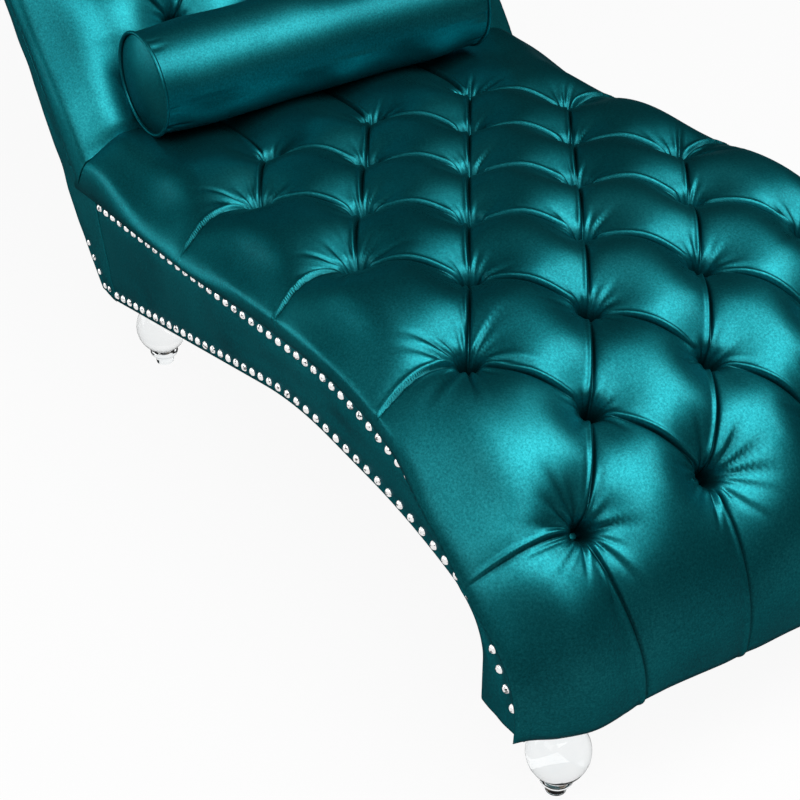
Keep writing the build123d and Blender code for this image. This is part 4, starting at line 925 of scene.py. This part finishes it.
LONG = 240
low_a = lifted(arch_chain, np.linspace(0, arch_bend, LONG - 50), 0)
low_b = lifted(arch_chain, np.linspace(arch_bend, arch_length, 51)[1:], 0)
band_low = np.concatenate([low_a, low_b])
top_a = lifted(seat_chain, SKIRT + np.linspace(7.0, neck_s, LONG - 50), TUCK_IN - SEAT_EDGE)
top_b = even_line([top_a[-1], neck_foot + (TUCK_IN, 0), (rail_front + TUCK_IN, FLOOR_TO_RAIL + 16.0),
                   (rail_front - 4.0, FLOOR_TO_RAIL)], 51)[1:]
band_top = np.concatenate([top_a, top_b])
for sign, word in ((-1, "right"), (1, "left")):
    studs = nail_list("nails_upper_" + word) + nail_list("nails_lower_" + word)
    grid = side_sheet(band_low, band_top, sign, 40, 24.0, 1.6, 31 + sign, studs)
    sheet_piece("arched_band_" + word, grid, "side_band_" + word, flip=sign > 0)

post_heel = (CREASE[0] + HEEL_AHEAD, FLOOR_TO_RAIL)


def arc_to(point, heading, target):
    dx, dz = target[0] - point[0], target[1] - point[1]
    turn = 2 * (np.degrees(np.arctan2(dz, dx)) - heading)
    return hypot(dx, dz) / (2 * sin(radians(abs(turn) / 2))), turn


post_low = on_back(-43.0, -BACK_EDGE - 62.0)
post_bend = on_back(BACK_RUN / 3, -POST_REAR)
down_heading = RECLINE - 90.0
rear_moves = [(BACK_RUN * 2 / 3, 0), arc_to(post_bend, down_heading, post_low)]
rear_moves.append(arc_to(post_low, down_heading + rear_moves[1][1], post_heel))
rear_chain = (on_back(BACK_RUN, -POST_REAR), down_heading, rear_moves)
rear_length = length_of(rear_moves)

corner = np.array([-242.784, 247.817])


def quarter(sign):
    """From the post's edge round to the top of the roll."""
    out = []
    for turn in np.linspace(0, pi / 2, 16)[1:]:
        lift = -BACK_EDGE - POST_HALF + sign * POST_HALF * cos(turn)
        out.append(on_back(BACK_RUN + POST_HALF * sin(turn), lift))
    return out


front_edge = even_line([seam_foot, seam_top, corner, on_back(BACK_RUN, -BACK_EDGE)], 200)
rear_edge = lifted(rear_chain, np.linspace(rear_length, 0, 200), 0)
panel_front = np.concatenate([front_edge, np.array(quarter(1))])
panel_rear = np.concatenate([rear_edge, np.array(quarter(-1))])
for sign, word in ((-1, "right"), (1, "left")):
    studs = nail_list("nails_lower_" + word)
    grid = side_sheet(panel_front, panel_rear, sign, 22, 0, 1.5, 41 + sign, studs)
    sheet_piece("back_side_" + word, grid, "back_panel_" + word, flip=sign < 0)

# Outside back
across = np.linspace(-HALF, HALF, 120)
rear_d = np.linspace(0, rear_length, 170)
rear_grid = lifted(rear_chain, rear_d, -4.0)
_, _, rear_turn = follow(rear_chain, rear_d)
edge_in = step_up(HALF - np.abs(across), 0, 14)[None, :]
puff = 2.2 * edge_in + 0.8 * soft_noise((170, 120), 18, 51) * edge_in - 3.0 * (1 - edge_in)
grid = np.stack([rear_grid[:, 0][:, None] + puff * np.sin(rear_turn)[:, None],
                 np.repeat(across[None, :], 170, axis=0),
                 rear_grid[:, 1][:, None] - puff * np.cos(rear_turn)[:, None]], axis=2)
sheet_piece("outside_back_cloth", grid, "outside_back", flip=True)

# Dust sheet under the seat, sagging a little
dust_low, dust_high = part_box("dust_sheet")
dust_from = (HEEL_AHEAD + REAR_RAIL_L - SEAM_AHEAD) / cos(radians(ARCH_SLOPE)) + 2.0
dust_d = np.linspace(dust_from, arch_length, 120)
dust_y = np.linspace(1000 * dust_low.y + 0.4, 1000 * dust_high.y - 0.4, 70)
dust_line = lifted(arch_chain, dust_d, 2.6)
_, _, dust_turn = follow(arch_chain, dust_d)
sag = 3.0 * (1 - (dust_y / dust_y.max()) ** 2)[None, :] * np.sin(pi * np.linspace(0, 1, 120))[:, None]
grid = np.stack([dust_line[:, 0][:, None] + sag * np.sin(dust_turn)[:, None],
                 np.repeat(dust_y[None, :], 120, axis=0),
                 dust_line[:, 1][:, None] - sag * np.cos(dust_turn)[:, None]], axis=2)
sheet_piece("dust_cloth", grid, "dust_sheet",
            dust_cloth, 0.8, True)

# Welts along the back's panels and over the rolled top
for sign, word in ((-1, "right"), (1, "left")):
    run = [on_back(up, -BACK_EDGE - 4.3) for up in np.linspace(0, BACK_RUN, 150)]
    for turn in np.linspace(0, pi, 30)[1:]:
        run.append(on_back(BACK_RUN + 16.7 * sin(turn), -ROLL_R + 16.7 * cos(turn)))
    line = np.array([(x, sign * (HALF + 3.6), z) for x, z in run])
    cord_tube("back_welt_" + word, line, 3.9, "chaise", "welt_" + word)


# Floor, light and camera

def shown_rays(tree, path):
    """One for the rays that look at the white studio: camera, mirror gloss and transmission."""
    value = path.outputs["Is Camera Ray"]
    for name in ("Is Singular Ray", "Is Transmission Ray"):
        node = tree.nodes.new("ShaderNodeMath")
        node.operation = "MAXIMUM"
        tree.links.new(value, node.inputs[0])
        tree.links.new(path.outputs[name], node.inputs[1])
        value = node.outputs["Value"]
    return value


def white_floor():
    bpy.ops.object.select_all(action="DESELECT")
    bpy.ops.mesh.primitive_plane_add(size=200.0, location=(0, 0, -0.0005))
    floor = bpy.context.object
    floor.name = "studio_floor"
    material = bpy.data.materials.new("white_floor")
    material.use_nodes = True
    tree = material.node_tree
    shader = tree.nodes["Principled BSDF"]
    shader.inputs["Roughness"].default_value = 0.9
    shader.inputs["Specular IOR Level"].default_value = 0.0
    glow = tree.nodes.new("ShaderNodeEmission")
    path = tree.nodes.new("ShaderNodeLightPath")
    seen = shown_rays(tree, path)
    tone = tree.nodes.new("ShaderNodeMapRange")
    tone.inputs["To Min"].default_value = 0.25
    tone.inputs["To Max"].default_value = 0.90
    tree.links.new(seen, tone.inputs["Value"])
    tree.links.new(tone.outputs["Result"], shader.inputs["Base Color"])
    share = tree.nodes.new("ShaderNodeMath")
    share.operation = "MULTIPLY"
    share.inputs[1].default_value = 0.93
    blend = tree.nodes.new("ShaderNodeMixShader")
    tree.links.new(seen, share.inputs[0])
    tree.links.new(share.outputs["Value"], blend.inputs["Fac"])
    tree.links.new(shader.outputs["BSDF"], blend.inputs[1])
    tree.links.new(glow.outputs["Emission"], blend.inputs[2])
    tree.links.new(blend.outputs["Shader"], tree.nodes["Material Output"].inputs["Surface"])
    floor.data.materials.append(material)


def studio_world():
    """White all round for the camera and through the clear feet; in gloss, dim overhead and dark below,
    with a weak even fill for matt surfaces."""
    world = bpy.data.worlds.new("studio_world")
    bpy.context.scene.world = world
    world.use_nodes = True
    tree = world.node_tree
    back = tree.nodes["Background"]
    back.inputs["Color"].default_value = (1.0, 1.0, 1.0, 1.0)
    path = tree.nodes.new("ShaderNodeLightPath")
    coords = tree.nodes.new("ShaderNodeTexCoord")
    split = tree.nodes.new("ShaderNodeSeparateXYZ")
    tree.links.new(coords.outputs["Generated"], split.inputs["Vector"])
    ceiling = tree.nodes.new("ShaderNodeMapRange")
    for socket, value in (("From Min", 0.75), ("From Max", 0.98), ("To Min", 0.03), ("To Max", 0.25)):
        ceiling.inputs[socket].default_value = value
    tree.links.new(split.outputs["Z"], ceiling.inputs["Value"])
    gloss = tree.nodes.new("ShaderNodeMath")
    gloss.operation = "MULTIPLY"
    tree.links.new(path.outputs["Is Glossy Ray"], gloss.inputs[0])
    tree.links.new(ceiling.outputs["Result"], gloss.inputs[1])
    shown = tree.nodes.new("ShaderNodeMath")
    shown.operation = "MAXIMUM"
    tree.links.new(shown_rays(tree, path), shown.inputs[0])
    tree.links.new(gloss.outputs["Value"], shown.inputs[1])
    fill = tree.nodes.new("ShaderNodeMath")
    fill.operation = "MULTIPLY"
    fill.inputs[1].default_value = 0.15
    tree.links.new(path.outputs["Is Diffuse Ray"], fill.inputs[0])
    total = tree.nodes.new("ShaderNodeMath")
    total.operation = "MAXIMUM"
    tree.links.new(shown.outputs["Value"], total.inputs[0])
    tree.links.new(fill.outputs["Value"], total.inputs[1])
    tree.links.new(total.outputs["Value"], back.inputs["Strength"])


def soft_light(name, place, target, size, power):
    data = bpy.data.lights.new(name, "AREA")
    data.shape = "RECTANGLE"
    data.size, data.size_y = size
    data.energy = power
    lamp = bpy.data.objects.new(name, data)
    bpy.context.scene.collection.objects.link(lamp)
    lamp.location = place
    lamp.visible_camera = False
    ahead = (np.array(target) - np.array(place))
    ahead = ahead / np.linalg.norm(ahead)
    lamp.rotation_euler = (np.arccos(-ahead[2]), 0, np.arctan2(-ahead[0], ahead[1]))


white_floor()
studio_world()
soft_light("far_softbox", (0.95, 1.25, 2.3), (0.949, 1.25, 0.4), (2.0, 1.5), 27)
soft_light("near_side_softbox", (0.6, -2.6, 2.0), (0.3, -0.2, 0.35), (1.9, 1.3), 9)
soft_light("side_card", (-1.9, -2.0, 0.7), (-0.3, -0.25, 0.5), (1.6, 1.2), 10)
soft_light("near_softbox", (1.45, -0.75, 2.3), (1.449, -0.75, 0.4), (2.1, 2.3), 40)

camera_data = bpy.data.cameras.new("photo_camera")
camera_data.lens = 81.95
camera_data.sensor_width = 36.0
camera_data.clip_end = 100.0
camera = bpy.data.objects.new("photo_camera", camera_data)
bpy.context.scene.collection.objects.link(camera)
camera.location = (1.63215, -1.04859, 1.40608)
camera.rotation_euler = (radians(90 - 36.931), 0.0, radians(57.553))
bpy.context.scene.camera = camera
bpy.context.scene.view_settings.view_transform = "Standard"
